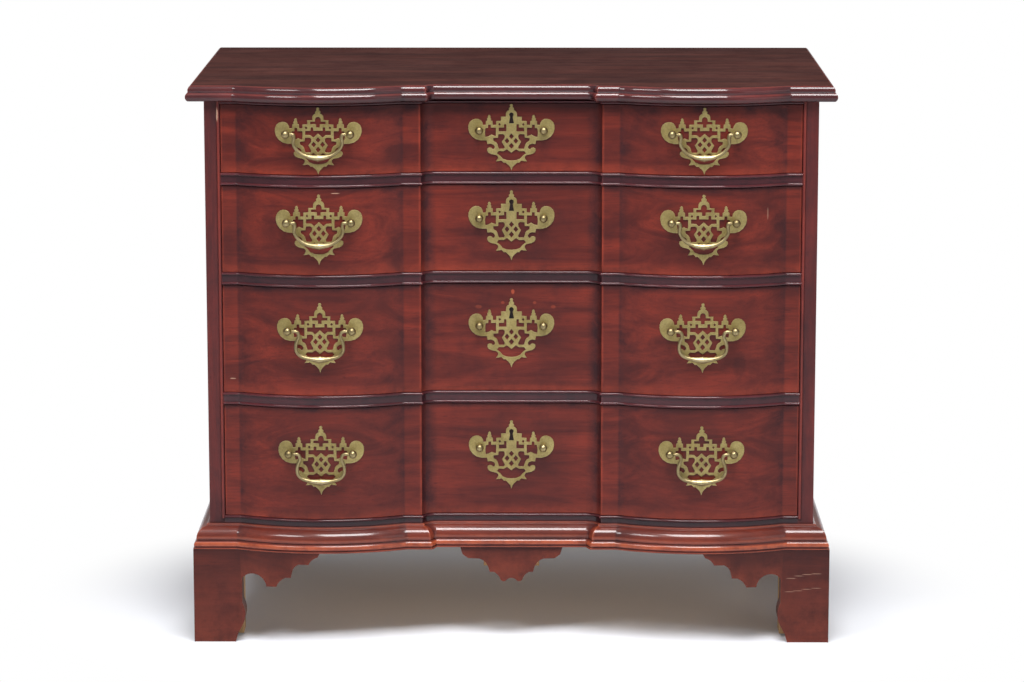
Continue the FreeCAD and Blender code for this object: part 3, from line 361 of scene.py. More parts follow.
def agedMasks(tree, place, spread, reach=1.0):
    # where the piece is darkened, by dirt and by painted shade, and where it is lightened, by rubbing and by
    # painted highlights, read from its own two attributes
    readings = {}
    for label in ("wearAndSheen", "grimeAndShade"):
        reader = tree.nodes.new("ShaderNodeAttribute")
        reader.attribute_name = label
        readings[label] = reader.outputs["Fac"]
    dirtAndShade = useGroup(tree, settledDirtAndShade, {"Vector": place, "HollowShadeAndDirt": readings["grimeAndShade"], "Spread": spread})
    rub = useGroup(tree, rubbedEdgeAndSheen, {"Vector": place, "WearAndSheen": readings["wearAndSheen"], "Reach": reach})
    return dirtAndShade["Mask"], rub["Mask"]


def addBump(tree, shader, height, strength, distance):
    bump = tree.nodes.new("ShaderNodeBump")
    bump.inputs["Strength"].default_value = strength
    bump.inputs["Distance"].default_value = distance
    wire(tree, height, bump.inputs["Height"])
    wire(tree, bump.outputs["Normal"], shader.inputs["Normal"])


def woodMaterial(name, tones, turn=(0, 0, 0), fineness=1.0, swirl=0.8, marks=(), dirtAndShade=0.3,
                 roughness=0.36, shine=0.3, polish=0.3, film=0.2, depth=0.0003):
    # shine is the wood's own, and polish and film are its coat's weight and roughness
    material, tree, shader, place = startMaterial(name)
    tones = {part: tone(*levels) for part, levels in tones.items()}
    along = stretched(tree, place, (1, 1, 1), turn)
    grain = useGroup(tree, woodFigure, {"Vector": along, "Fineness": fineness, "Swirl": swirl})
    colour = blend(tree, grain["Streak"], tones["dark"], tones["light"])
    for label, share, part in (("Line", 0.32, "dark"), ("Cloud", 0.4, "deep"), ("Pore", 0.45, "deep")):
        colour = blend(tree, times(tree, grain[label], share), colour, tones[part])
    for at, size, share, levels, ragged in marks:
        spot = useGroup(tree, spotMark, {"Vector": place, "Centre": at, "Size": size, "Ragged": ragged})
        colour = blend(tree, times(tree, spot["Mask"], share), colour, tone(*levels))
    dirtAndShadeMask, rubAndSheenMask = agedMasks(tree, place, dirtAndShade)
    # dirt and painted shade darken the colour, and rubbing and painted highlights lighten it
    colour = blend(tree, times(tree, dirtAndShadeMask, 0.8), colour, tones["dirtAndShade"])
    colour = blend(tree, times(tree, rubAndSheenMask, 0.75), colour, tones["rubbedAndSheen"])
    wire(tree, colour, shader.inputs["Base Color"])
    gloss = mathNode(tree, "MULTIPLY_ADD", grain["Cloud"], 0.1, roughness)
    gloss = mathNode(tree, "MULTIPLY_ADD", dirtAndShadeMask, 0.25, gloss)
    wire(tree, gloss, shader.inputs["Roughness"])
    shader.inputs["Coat Weight"].default_value = polish
    shader.inputs["Coat Roughness"].default_value = film
    shader.inputs["Specular IOR Level"].default_value = shine
    height = mathNode(tree, "MULTIPLY_ADD", grain["Line"], 0.4, grain["Streak"])
    addBump(tree, shader, mathNode(tree, "SUBTRACT", height, grain["Pore"]), 0.35, depth)
    return material


def metalMaterial(name, tones, roughness, tarnish, metallic=1.0, pitting=0.25):
    material, tree, shader, place = startMaterial(name)
    tones = {part: tone(*levels) for part, levels in tones.items()}
    shader.inputs["Metallic"].default_value = metallic
    broad = between(tree, noise(tree, place, 34, detail=5, roughness=0.65, distortion=0.5), 0.35, 0.68)
    fine = between(tree, noise(tree, place, 420, roughness=0.7), 0.35, 0.7)
    dirtAndShadeMask, rubAndSheenMask = agedMasks(tree, place, tarnish, 1.1)
    colour = blend(tree, broad, tones["base"], tones["light"])
    colour = blend(tree, times(tree, fine, 0.35), colour, tones["dark"])
    colour = blend(tree, dirtAndShadeMask, colour, tones["dark"])
    colour = blend(tree, rubAndSheenMask, colour, tones["rubbedAndSheen"])
    wire(tree, colour, shader.inputs["Base Color"])
    gloss = mathNode(tree, "MULTIPLY_ADD", fine, 0.14, roughness)
    gloss = mathNode(tree, "MULTIPLY_ADD", dirtAndShadeMask, 0.2, gloss)
    wire(tree, gloss, shader.inputs["Roughness"])
    addBump(tree, shader, mathNode(tree, "ADD", fine, broad), pitting, 0.0002)
    return material


# tones are chart levels of 0 to 255
mahogany = {
    "dark": (80, 28, 23), "light": (124, 45, 32), "deep": (50, 20, 21), "rubbedAndSheen": (190, 78, 52),
    "dirtAndShade": (34, 18, 24),
}
topTones = dict(mahogany, light=(82, 43, 36), dark=(54, 28, 25), deep=(40, 23, 22), rubbedAndSheen=(110, 58, 48))
edgeTones = dict(mahogany, light=(92, 36, 36), dark=(62, 26, 28), deep=(40, 20, 24), rubbedAndSheen=(146, 62, 50))
caseTones = dict(mahogany, light=(112, 38, 32), dark=(70, 22, 22), deep=(50, 18, 22), rubbedAndSheen=(150, 62, 46))
railTones = dict(mahogany, light=(84, 32, 38), dark=(58, 22, 28), deep=(38, 16, 22), rubbedAndSheen=(124, 60, 56))
# the base's rubbed tone also paints the highlight on its torus
baseTones = dict(mahogany, light=(132, 54, 36), dark=(90, 34, 25), deep=(58, 24, 22), rubbedAndSheen=(198, 96, 58))
# the feet are given darker tones than the fronts as painted shade under the base moulding
footTones = dict(mahogany, light=(92, 36, 26), dark=(60, 23, 19), deep=(42, 17, 17), rubbedAndSheen=(130, 58, 40))
shadeTones = dict(mahogany, light=(20, 12, 12), dark=(10, 8, 8))
pineTones = {
    "dark": (176, 138, 92), "light": (206, 172, 124), "deep": (140, 104, 66), "rubbedAndSheen": (226, 198, 152),
    "dirtAndShade": (96, 74, 52),
}
plateTones = dict(base=(158, 140, 84), light=(180, 162, 104), dark=(88, 74, 46), rubbedAndSheen=(226, 212, 160))
castTones = dict(base=(150, 134, 94), light=(176, 160, 118), dark=(82, 68, 46), rubbedAndSheen=(208, 194, 154))
ironTones = dict(base=(74, 68, 64), light=(104, 96, 90), dark=(52, 36, 28), rubbedAndSheen=(140, 132, 124))
paleScratch, redStain, knot, seam = (226, 190, 160), (206, 96, 62), (40, 16, 18), (70, 50, 34)

# marks are (centre, half sizes, strength, tone, raggedness)
frontMarks = [
    ((0.002, -0.214, 0.5037), (0.003, 0.03, 0.004), 0.45, redStain, 0.4),
    ((-0.0469, -0.214, 0.482), (0.006, 0.03, 0.003), 0.22, redStain, 0.4),
    ((0.0595, -0.214, 0.482), (0.004, 0.03, 0.003), 0.22, redStain, 0.4),
    ((0.0329, -0.214, 0.4879), (0.003, 0.03, 0.0025), 0.22, redStain, 0.4),
    ((-0.0124, -0.214, 0.4879), (0.003, 0.03, 0.0025), 0.22, redStain, 0.4),
    ((0.323, -0.24, 0.404), (0.012, 0.04, 0.02), 0.4, knot, 0.4),
    ((-0.247, -0.255, 0.6502), (0.007, 0.02, 0.0008), 0.6, paleScratch, 0.4),
    ((-0.396, -0.228, 0.3807), (0.005, 0.02, 0.001), 0.35, paleScratch, 0.4),
    ((0.361, -0.24, 0.62), (0.001, 0.02, 0.01), 0.2, paleScratch, 0.4),
]
caseMarks = [((-0.4135, -0.229, 0.7587), (0.0017, 0.012, 0.011), 0.6, paleScratch, 0.4)]
footCracks = [
    (0.4, 0.0945), (0.411, 0.098), (0.423, 0.1002), (0.436, 0.1012),
    (0.398, 0.0748), (0.41, 0.0762), (0.422, 0.0785), (0.436, 0.08),
]
footMarks = [((x, -0.25, z), (0.0092, 0.01, 0.0006), 0.34, paleScratch, 0.5) for x, z in footCracks]
backSeams = [((0, 0.272, z), (0.43, 0.004, 0.0008), 0.75, seam, 0.1) for z in (0.35, 0.564)]

upright, lengthwise = (0, quarter, 0), (0, 0, quarter)    # turn the figure to run up a board or front to back
frontWood = woodMaterial("mahoganyFronts", mahogany, swirl=1.6, fineness=0.9, marks=frontMarks,
                         polish=0.22, shine=0.14)
topWood = woodMaterial("mahoganyTop", topTones, swirl=0.5, roughness=0.5, polish=0.0, dirtAndShade=0.35, shine=0.05)
caseWood = woodMaterial("mahoganyCase", caseTones, turn=upright, swirl=0.6, roughness=0.38, polish=0.15,
                        dirtAndShade=0.35, marks=caseMarks)
railWood = woodMaterial("mahoganyRails", railTones, swirl=0.4, roughness=0.42, polish=0.7, dirtAndShade=0.4,
                        shine=0.05, film=0.1)
edgeWood = woodMaterial("mahoganyTopEdge", edgeTones, swirl=0.4, roughness=0.42, polish=0.8,
                        shine=0.1, film=0.08)
baseWood = woodMaterial("mahoganyBase", baseTones, swirl=0.5, roughness=0.4, polish=0.75, dirtAndShade=0.25,
                        shine=0.15, film=0.14)
footWood = woodMaterial("mahoganyFeet", footTones, swirl=0.9, roughness=0.38, polish=0.1, dirtAndShade=0.35,
                        marks=footMarks, shine=0.2)
rawPine = {"tones": pineTones, "swirl": 0.5, "roughness": 0.62, "polish": 0.0, "depth": 0.0005}
pine = woodMaterial("whitePine", **rawPine)
pineBack = woodMaterial("whitePineBack", dirtAndShade=0.4, marks=backSeams, **rawPine)
pineAcross = woodMaterial("whitePineLengthwise", turn=lengthwise, **rawPine)
keyholeDark = woodMaterial("keyholeShadow", shadeTones, roughness=0.8, polish=0.0, dirtAndShade=0.2)
plateBrass = metalMaterial("plateBrass", plateTones, 0.42, 0.35, metallic=0.85)
castBrass = metalMaterial("castBrass", castTones, 0.36, 0.3, pitting=0.12)
lockIron = metalMaterial("lockIron", ironTones, 0.5, 0.45)
print("finishes made:", len(bpy.data.materials))


# the blocked plan

facade = {
    "plane": -0.22775,           # y of the flats' face
    "blockRadius": 0.26419, "bow": 0.027, "blockMiddle": 0.27025,
    "coveRadius": 0.023633, "coveWidth": 0.022, "coveDepth": 0.015, "flat": 0.106, "arris": 0.128,
    "halfCase": 0.432, "inner": 0.41, "depth": 0.5, "blockSteps": 26, "coveSteps": 10, "beside": 0.003,
    # points at the arris beside the cove: (step outward, step back, wear, darkening that is painted cove
    # shade)
    "arrisPoints": [(-0.0008, 0.0006, 0.2, 0.2), (0, 0, 0.6, 0), (0.0012, 0, 0.25, 0), (0.0035, 0, 0, 0)],
    "recessDarker": 0.2, "endWear": 0.3,
    # painted shade in the creases where each block leaves the flats
    "shoulderShade": (0.85, 0.5, 0.3, 0.15),       # at a block's first points from either side
}


def facadeLine(out, halfWidth, cornered=False):
    # the front line from left to right, out in front of the facade plane, as (x, y, wear, darkening)
    radius, bow, middle = facade["blockRadius"] + out, facade["bow"], facade["blockMiddle"]
    centre = facade["blockRadius"] - bow
    reach = math.sqrt(bow * (2 * radius - bow))
    cove, deep = facade["coveRadius"] - out, facade["coveRadius"] - facade["coveDepth"]
    lean = deep / facade["coveRadius"]
    lowest = math.asin(lean if cornered else (deep - out) / cove)
    if cornered:
        arris = facade["arris"] - out * (1 - lean) * facade["coveRadius"] / facade["coveWidth"]
    else:
        arris = facade["flat"] + math.sqrt(cove ** 2 - (deep - out) ** 2)
    recess, steps = facade["coveDepth"] - out, facade["coveSteps"]
    # the recessed middle is a little darker all over
    half = [(x, recess, 0, facade["recessDarker"]) for x in (0, facade["flat"] * 0.5)]
    for k in range(steps + 1):
        angle = quarter + (lowest - quarter) * k / steps
        # painted shade in the cove, none where it leaves the recess and full from halfway to just short of the
        # arris
        dirtAndShade = min(1, 2 * k / steps) if k < steps else 0
        half.append((facade["flat"] + cove * math.cos(angle), cove * math.sin(angle) - deep, 0, dirtAndShade))
    half += [(arris + along, back - out, wearAndSheen, dirtAndShade) for along, back, wearAndSheen, dirtAndShade in facade["arrisPoints"]]
    half.append((middle - reach - facade["beside"], -out, 0, 0))
    steps, shoulder = facade["blockSteps"], facade["shoulderShade"]
    for k in range(steps + 1):
        angle = math.asin(reach / radius) * (2 * k / steps - 1)
        # painted shade in the creases at the block's two ends
        nearEnd = min(k, steps - k)
        dirtAndShade = shoulder[nearEnd] if nearEnd < len(shoulder) else 0
        half.append((middle + radius * math.sin(angle), centre - radius * math.cos(angle), 0, dirtAndShade))
    half += [(middle + reach + facade["beside"], -out, 0, 0), (halfWidth - facade["beside"], -out, 0, 0)]
    half.append((halfWidth, -out, facade["endWear"], 0))
    left = [(-x, y, wearAndSheen, dirtAndShade) for x, y, wearAndSheen, dirtAndShade in reversed(half[1:])]
    return left + half


def loftBoard(name, layers, plan, material):
    # layers: (out, z, wear and painted highlight, dirt and painted shade), from the bottom up, and a wear of
    # None leaves its ring clean;
    # plan(out, layer) is a closed outline
    rings = [plan(layer[0], i) for i, layer in enumerate(layers)]
    count = len(rings[0])
    vertices, wearAndSheen, grimeAndShade = [], [], []
    for (_, z, rubbedAndSheen, dirtAndShade), ring in zip(layers, rings):
        clean = rubbedAndSheen is None
        for x, y, pointWearAndSheen, pointDirtAndShade in ring:
            vertices.append((x, facade["plane"] + y, z))
            wearAndSheen.append(0.0 if clean else max(rubbedAndSheen, pointWearAndSheen))
            grimeAndShade.append(0.0 if clean else max(dirtAndShade, pointDirtAndShade))
    faces = [tuple(range(count - 1, -1, -1)), tuple(range((len(rings) - 1) * count, len(rings) * count))]
    for i in range(len(rings) - 1):
        for j in range(count):
            k = (j + 1) % count
            faces.append((i * count + j, i * count + k, (i + 1) * count + k, (i + 1) * count + j))
    return addPiece(name, meshFrom(name, vertices, faces, wearAndSheen, grimeAndShade), material)


def boardPlan(halfWidth, back, cornered=False, widen=False):
    # the blocked front closed by a straight back
    def plan(out, layer):
        half = halfWidth + (out if widen else 0)
        return facadeLine(out, half, cornered) + [(half, back, 0, 0), (-half, back, 0, 0)]
    return plan


def edgeLayers(section, bottom, grooves, noses):
    # a moulding's section, as (distance out, height), turned into layers with their wear and with painted
    # shade in the grooves
    layers = []
    for out, z in outlinePoints(section):
        dirtAndShade = grooveShade if any(low <= z <= high for low, high in grooves) else 0.0
        wearAndSheen = max([share for low, high, share in noses if low <= z <= high] + [0.0])
        layers.append((out * mm, bottom + z * mm, wearAndSheen, dirtAndShade))
    return layers


# top, mouldings and rails

# painted shade in a moulding's grooves
grooveShade = 0.9
top = {
    "section": [(11.6, 0, 3.3), (11.9, 12.2), (11.2, 12.8, 2.1), (7, 22)],
    "grooves": [(12.1, 12.9)], "noses": [(20.8, 22.1, 0.45), (9, 12, 0.3)],
    "overhang": 0.01, "back": 0.505, "cleanRim": 0.0015, "faceDepth": 0.0001,
}
topLow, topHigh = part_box("case_top")
mortise = {
    "half": 0.0125, "front": -0.19975, "back": -0.18975, "rise": 0.008, "below": 0.001, "throughTop": 0.02,
}


def boltRoom(z, height):
    # the slot that a lock bolt rises into
    low = (-mortise["half"], mortise["front"], z - mortise["below"])
    return block3d(low, (mortise["half"], mortise["back"], z + height))


def makeTop():
    layers = edgeLayers(top["section"], topLow[2], top["grooves"], top["noses"])
    rim, height = layers[-1][:2]
    layers.append((rim - top["cleanRim"], height + stepRise, None, None))
    half = facade["halfCase"] + top["overhang"]
    board = loftBoard("topBoard", layers, boardPlan(half, top["back"], cornered=True, widen=True), topWood)
    cut(board, [boltRoom(topLow[2], mortise["rise"] - (topLow[2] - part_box("top_rail")[0][2]))])
    board.data.materials.append(edgeWood)
    for face in board.data.polygons:
        onTop = face.normal.z > 0.9 and face.center.z > topHigh[2] - top["faceDepth"]
        face.material_index = 0 if onTop else 1
    settle(board, "case", "case_top")


base = {
    "section": [
        (21.4, 0), (22.4, 0.5), (22.4, 1.7), (21.2, 2.2), (20.4, 2.8, 2), (18.6, 11.4), (17.4, 11.8),
        (17.2, 12.8), (17.9, 13.4, 4.6), (5, 30.6), (4.5, 31), (4.4, 32.8), (3, 34),
    ],
    "grooves": [(2, 2.9), (11.6, 12.9)],
    # the base's torus, 4 to 10.6 high, is lightened partly by wear and partly as a painted highlight
    "noses": [(0, 1.9, 0.3), (4, 10.6, 0.75), (13.4, 17, 0.35), (32, 33, 0.4)], "cornerWear": 0.2,
}


def makeBaseMoulding():
    layers = edgeLayers(base["section"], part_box("base_moulding_front")[0][2], base["grooves"], base["noses"])
    half = facade["halfCase"]

    def frontPlan(out, layer):
        inside = [(x, y, 0, 0) for x, y, *_ in reversed(facadeLine(0, half))]
        return facadeLine(out, half + out, cornered=True) + inside

    face = loftBoard("baseMouldingFront", layers, frontPlan, baseWood)
    settle(face, "case", "base_moulding_front")
    runs = []
    for hand in (-1, 1):
        def sidePlan(out, layer):
            corners = [(half, 0), (half + out, -out), (half + out, facade["depth"]), (half, facade["depth"])]
            points = [(hand * x, y, base["cornerWear"] if y < 0 else 0, 0) for x, y in corners]
            return points if hand > 0 else points[::-1]
        runs.append(loftBoard("mouldingRun", layers, sidePlan, baseWood))
    pair = addPiece("baseMouldingSides", joinedPieces(runs, "baseMouldingSides"))
    settle(pair, "case", "base_moulding_sides")


bead = {
    "section": [(0.4, 0), (1.7, 0.5), (2.3, 1.2), (2.5, 2), (2.3, 2.8), (1.7, 3.5), (0.4, 4)],
    # darker beside each bead and along a divider's middle; along the top rail's upper edge, under the top
    # board, painted shadow
    "height": 4 * mm, "wearAndSheen": 0.15, "darkBeside": 0.8, "darkBetween": 0.35, "shadowUnderTop": 0.4,
}


def beadLayers(z):
    return [(out * mm, z + rise * mm, bead["wearAndSheen"], 0) for out, rise in bead["section"]]


def railPiece(name, node, beads, mortiseHeight):
    # a rail or divider with a cock bead along each edge that frames a drawer
    low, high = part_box(node)
    if "lower" in beads:
        layers = beadLayers(low[2]) + [(0, low[2] + bead["height"], 0, bead["darkBeside"])]
    else:
        layers = [(0, low[2], 0, 0)]
    if len(beads) == 2:
        layers.append((0, low[2] + (high[2] - low[2]) / 2, 0, bead["darkBetween"]))
    if "upper" in beads:
        start = high[2] - bead["height"]
        layers += [(0, start, 0, bead["darkBeside"])] + beadLayers(start)
    else:
        # painted shadow under the top board
        layers.append((0, high[2], 0, bead["shadowUnderTop"]))
    plan = boardPlan(facade["inner"], high[1] - facade["plane"], cornered=True)
    board = loftBoard(name, layers, plan, railWood)
    if mortiseHeight:
        cut(board, [boltRoom(low[2], mortiseHeight)])
    settle(board, "case", node)


def makeRails():
    for n in (1, 2, 3):
        railPiece(f"divider{n}", f"drawer_divider_{n}", ("lower", "upper"), mortise["rise"])
    railPiece("topRail", "top_rail", ("lower",), mortise["throughTop"])
    railPiece("bottomRail", "bottom_rail", ("upper",), None)


side = {
    "beadStart": 0.177, "beadWidth": 0.005, "beadRise": 0.0025, "ease": 0.0008,
    # the bead's section, as shares of its width and rise
    "bead": [(0, 0.4), (0.18, 0.8), (0.5, 1), (0.82, 0.8), (1, 0.2), (1, 0)],
    # the quirk beside each side's bead is darker
    "reveal": 0.004, "noseWear": 0.7, "easeWear": 0.5, "quirkDarker": 0.6, "quirk": 0.006,
}


def makeSides():
    inner, outer, depth = facade["inner"], facade["halfCase"], facade["depth"]
    backLow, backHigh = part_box("back_boards")
    rabbet, notch, ease = depth - (backHigh[1] - backLow[1]), backHigh[0], side["ease"]
    for hand, label in ((-1, "Left"), (1, "Right")):
        def plan(out, layer):
            # above the bead's start, it stands out along the front edge
            rise = side["beadRise"] if layer > 1 else 0
            nose = [(inner + share * side["beadWidth"], -height * rise) for share, height in side["bead"]]
            points = []
            for x, y in [(inner, side["reveal"])] + nose:
                wearAndSheen = side["noseWear"] if y < -0.8 * rise and rise else 0
                dirtAndShade = side["quirkDarker"] if abs(y) < 1e-6 and x < inner + side["quirk"] else 0
                points.append((hand * x, y, wearAndSheen, dirtAndShade))
            back = [(outer, depth), (notch, depth), (notch, rabbet), (inner, rabbet)]
            for x, y in [(outer - ease, 0), (outer, ease)] + back:
                points.append((hand * x, y, side["easeWear"] if y == ease else 0, 0))
            return points if hand > 0 else points[::-1]

        node = "case_side_" + label.lower()
        low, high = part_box(node)
        heights = (low[2], side["beadStart"], side["beadStart"] + stepRise, high[2])
        board = loftBoard("caseSide" + label, [(0, z, 0, 0) for z in heights], plan, caseWood)
        settle(board, "case", node)


makeTop()
makeBaseMoulding()
makeRails()
makeSides()
print("top, mouldings, rails and sides made")


# feet and centre drop

foot = {
    "outline": [
        (0, 0), (59, 0, -1.4), (69.2, 25, 4.3), (69.2, 59), (69.2, 94, -13), (105, 85.4), (119.5, 86, -2),
        (132.5, 99.6), (140.4, 100), (142.4, 109, -2), (152.4, 119.6), (166, 119.6, -2), (179, 130.6),
        (182, 136), (0, 136),
    ],
    "thickness": 0.0305, "face": 0.0225, "chamfer": 0.0007, "wearAndSheen": 0.7,
    # cuts across the front bracket, which bows with its block
    "slice": 0.006, "slices": range(5, 31),
}
drop = {
    "outline": [
        (0, 0), (73.5, 0), (70, -11), (62, -16.8), (46, -17.5, 2), (33.4, -29), (31, -37), (25, -37, 1.4),
        (15.5, -48.5, -1.6), (8, -50, 1.2), (0, -46),
    ],
    "thickness": 0.018,
}


def sliced(work, places):
    # extra edges across a board at these distances along it, so that it can bend
    for u in places:
        everything = work.verts[:] + work.edges[:] + work.faces[:]
        bmesh.ops.bisect_plane(work, geom=everything, plane_co=(u, 0, 0), plane_no=(1, 0, 0))


def sawnBoard(name, outline, thickness, place, slices=()):
    # a board sawn to an outline; place(u, depth, z) puts it where it stands, depth 0 at its face
    chamfer = foot["chamfer"]
    work = bmesh.new()
    face = work.faces.new([work.verts.new((u, 0, z)) for u, z in outline])
    bmesh.ops.inset_region(work, faces=[face], thickness=chamfer, use_even_offset=True)
    outer = [edge for edge in work.edges if edge.is_boundary]
    for vertex in {v for edge in outer for v in edge.verts}:
        vertex.co.y = chamfer
    grown = bmesh.ops.extrude_edge_only(work, edges=outer)["geom"]
    for vertex in [item for item in grown if isinstance(item, bmesh.types.BMVert)]:
        vertex.co.y = thickness
    bmesh.ops.contextual_create(work, geom=[edge for edge in work.edges if edge.is_boundary])
    sliced(work, slices)
    bmesh.ops.recalc_face_normals(work, faces=work.faces)
    wearLayer = work.verts.layers.float.new("wearAndSheen")
    head = max(z for u, z in outline) - mm
    for vertex in work.verts:
        vertex[wearLayer] = foot["wearAndSheen"] if abs(vertex.co.y - chamfer) < 1e-5 and vertex.co.z < head else 0
        vertex.co = place(*vertex.co)
    mesh = bpy.data.meshes.new(name)
    work.to_mesh(mesh)
    work.free()
    tidyNormals(mesh)
    return addPiece(name, mesh, footWood, 30)


def makeFeet():
    thickness, proud, plane = foot["thickness"], foot["face"], facade["plane"]
    corner = facade["halfCase"] + proud
    radius = facade["blockRadius"] + proud
    centre = facade["blockRadius"] - facade["bow"]
    outline = [(u * mm, z * mm) for u, z in outlinePoints(foot["outline"])]
    slices = [foot["slice"] * k for k in foot["slices"]]

    def bowed(x):
        spread = radius ** 2 - (x - facade["blockMiddle"]) ** 2
        return max(0, math.sqrt(spread) - centre - proud)

    for hand, label in ((-1, "Left"), (1, "Right")):
        # the back of each bracket is flat, and mitred where the two meet
        def frontPlace(u, depth, z):
            x = corner - u
            y = min(thickness, u) - proud if depth > thickness / 2 else depth - proud - bowed(x)
            return Vector((hand * x, plane + y, z))

        def sidePlace(u, depth, z):
            inward = min(thickness, u) if depth > thickness / 2 else depth
            return Vector((hand * (corner - inward), plane - proud + u, z))

        boards = [
            sawnBoard("footFront", outline, thickness, frontPlace, slices),
            sawnBoard("footSide", outline, thickness, sidePlace, [thickness]),
        ]
        piece = addPiece("frontFoot" + label, joinedPieces(boards, "frontFoot" + label), smoothTo=30)
        settle(piece, "case", "front_foot_" + label.lower())


def makeDrop():
    head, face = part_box("base_moulding_front")[0][2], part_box("centre_drop")[0][1]
    outline = [(x * mm, head + z * mm) for x, z in mirroredOutline(drop["outline"])]

    def place(u, depth, z):
        return Vector((u, face + depth, z))

    settle(sawnBoard("centreDrop", outline, drop["thickness"], place), "case", "centre_drop")


makeFeet()
makeDrop()
print("feet and centre drop made")


# drawer fronts

front = {
    "setback": 0.0005, "thickness": 0.038, "eased": 0.0006, "easedWear": 0.3,
    "hollowRadius": 0.23019, "hollowSteps": 14, "ledge": 0.018,
    "lockHalf": 0.032, "lockDepth": 0.01, "lockHeight": 0.042,
    "panelRise": 0.009, "panelThickness": 0.007, "panelPlay": 0.0001, "grooveDepth": 0.0052,
    "tails": {1: 2, 2: 3, 3: 4, 4: 4}, "tailFlare": 0.004, "tailPin": 0.004, "tailMargin": 0.005,
    "tailLength": 0.02, "sideThickness": 0.011, "sideDrop": 0.003, "past": 0.001,
    # the band along each front's head, darkened as painted shadow from the top and the rail above
    "dusk": {1: 0.018, 2: 0.01, 3: 0.01, 4: 0.01}, "duskShare": 0.45, "duskShadow": 0.6,
}


def tailRooms(n, hand, low, height):
    # the sockets that the drawer side's dovetails fill
    flare, thickness, past = front["tailFlare"], front["thickness"], front["past"]
    start = front["panelRise"] + front["panelThickness"] + front["tailMargin"]
    end = height - front["sideDrop"] - front["tailMargin"]
    pitch = (end - start) / front["tails"][n]
    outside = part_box(f"drawer_{n}_carcass")[1][0]
    rooms = []
    for i in range(front["tails"][n]):
        rootLow = start + pitch * i + flare + front["tailPin"] / 2
        rootHigh = start + pitch * (i + 1) - flare - front["tailPin"] / 2
        tip, root = thickness - front["tailLength"], thickness + past
        corners = []
        for x in (outside - front["sideThickness"], outside + past):
            corners += [(x, tip, rootLow - flare), (x, root, rootLow)]
            corners += [(x, root, rootHigh), (x, tip, rootHigh + flare)]
        corners = [(hand * x, facade["plane"] + y, low + z) for x, y, z in corners]
        faces = [(0, 1, 2, 3), (7, 6, 5, 4), (0, 4, 5, 1), (1, 5, 6, 2), (2, 6, 7, 3), (3, 7, 4, 0)]
        mesh = meshFrom("socket", corners, faces)
        tidyNormals(mesh)
        rooms.append(addPiece("socket", mesh, smoothTo=None))
    return rooms


def makeFront(n):
    low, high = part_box(f"drawer_{n}_front")
    half, bottom, upper = high[0], low[2], high[2]
    thickness, inside, past = front["thickness"], half - front["sideThickness"], front["past"]
    axis = facade["blockRadius"] - facade["bow"] - thickness
    chord = math.sqrt(front["hollowRadius"] ** 2 - axis ** 2)
    steps = front["hollowSteps"]

    def plan(out, layer):
        # above its ledge the back is hollowed behind each block, on the block's own centre
        back = []
        for middle in (facade["blockMiddle"], -facade["blockMiddle"]):
            for k in range(steps + 1):
                x = chord * (1 - 2 * k / steps)
                hollowed = layer >= 3 and 0 < k < steps
                inward = math.sqrt(front["hollowRadius"] ** 2 - x ** 2) - axis if hollowed else 0
                back.append((middle + x, thickness - inward, 0, 0))
        return facadeLine(out, half) + [(half, thickness, 0, 0)] + back + [(-half, thickness, 0, 0)]

    face, ease, dusk, ledge = -front["setback"], front["eased"], front["dusk"][n], bottom + front["ledge"]
    # painted shadow at the front's head, full along its top edge
    layers = [
        (face - ease, bottom, front["easedWear"], 0), (face, bottom + ease, front["easedWear"], 0),
        (face, ledge, 0, 0), (face, ledge + stepRise, 0, 0), (face, upper - dusk, 0, 0),
        (face, upper - dusk * front["duskShare"], 0, front["duskShadow"]), (face, upper - ease, 0, 1.0),
        (face - ease, upper, 0, 1.0),
    ]
    board = loftBoard(f"drawer{n}Front", layers, plan, frontWood)
    back = facade["plane"] + thickness
    groove = bottom + front["panelRise"] - front["panelPlay"]
    grooveTop = groove + front["panelThickness"] + 2 * front["panelPlay"]
    rooms = [
        block3d((-inside, back - front["grooveDepth"], groove), (inside, back + past, grooveTop)),
        block3d((-front["lockHalf"], back - front["lockDepth"], upper - front["lockHeight"]),
                (front["lockHalf"], back + past, upper + past)),
    ]
    for hand in (-1, 1):
        rooms += tailRooms(n, hand, bottom, upper - bottom)
    cut(board, rooms)
    settle(board, f"drawer_{n}", f"drawer_{n}_front")


for n in drawers:
    makeFront(n)
print("drawer fronts made")


# pierced plates

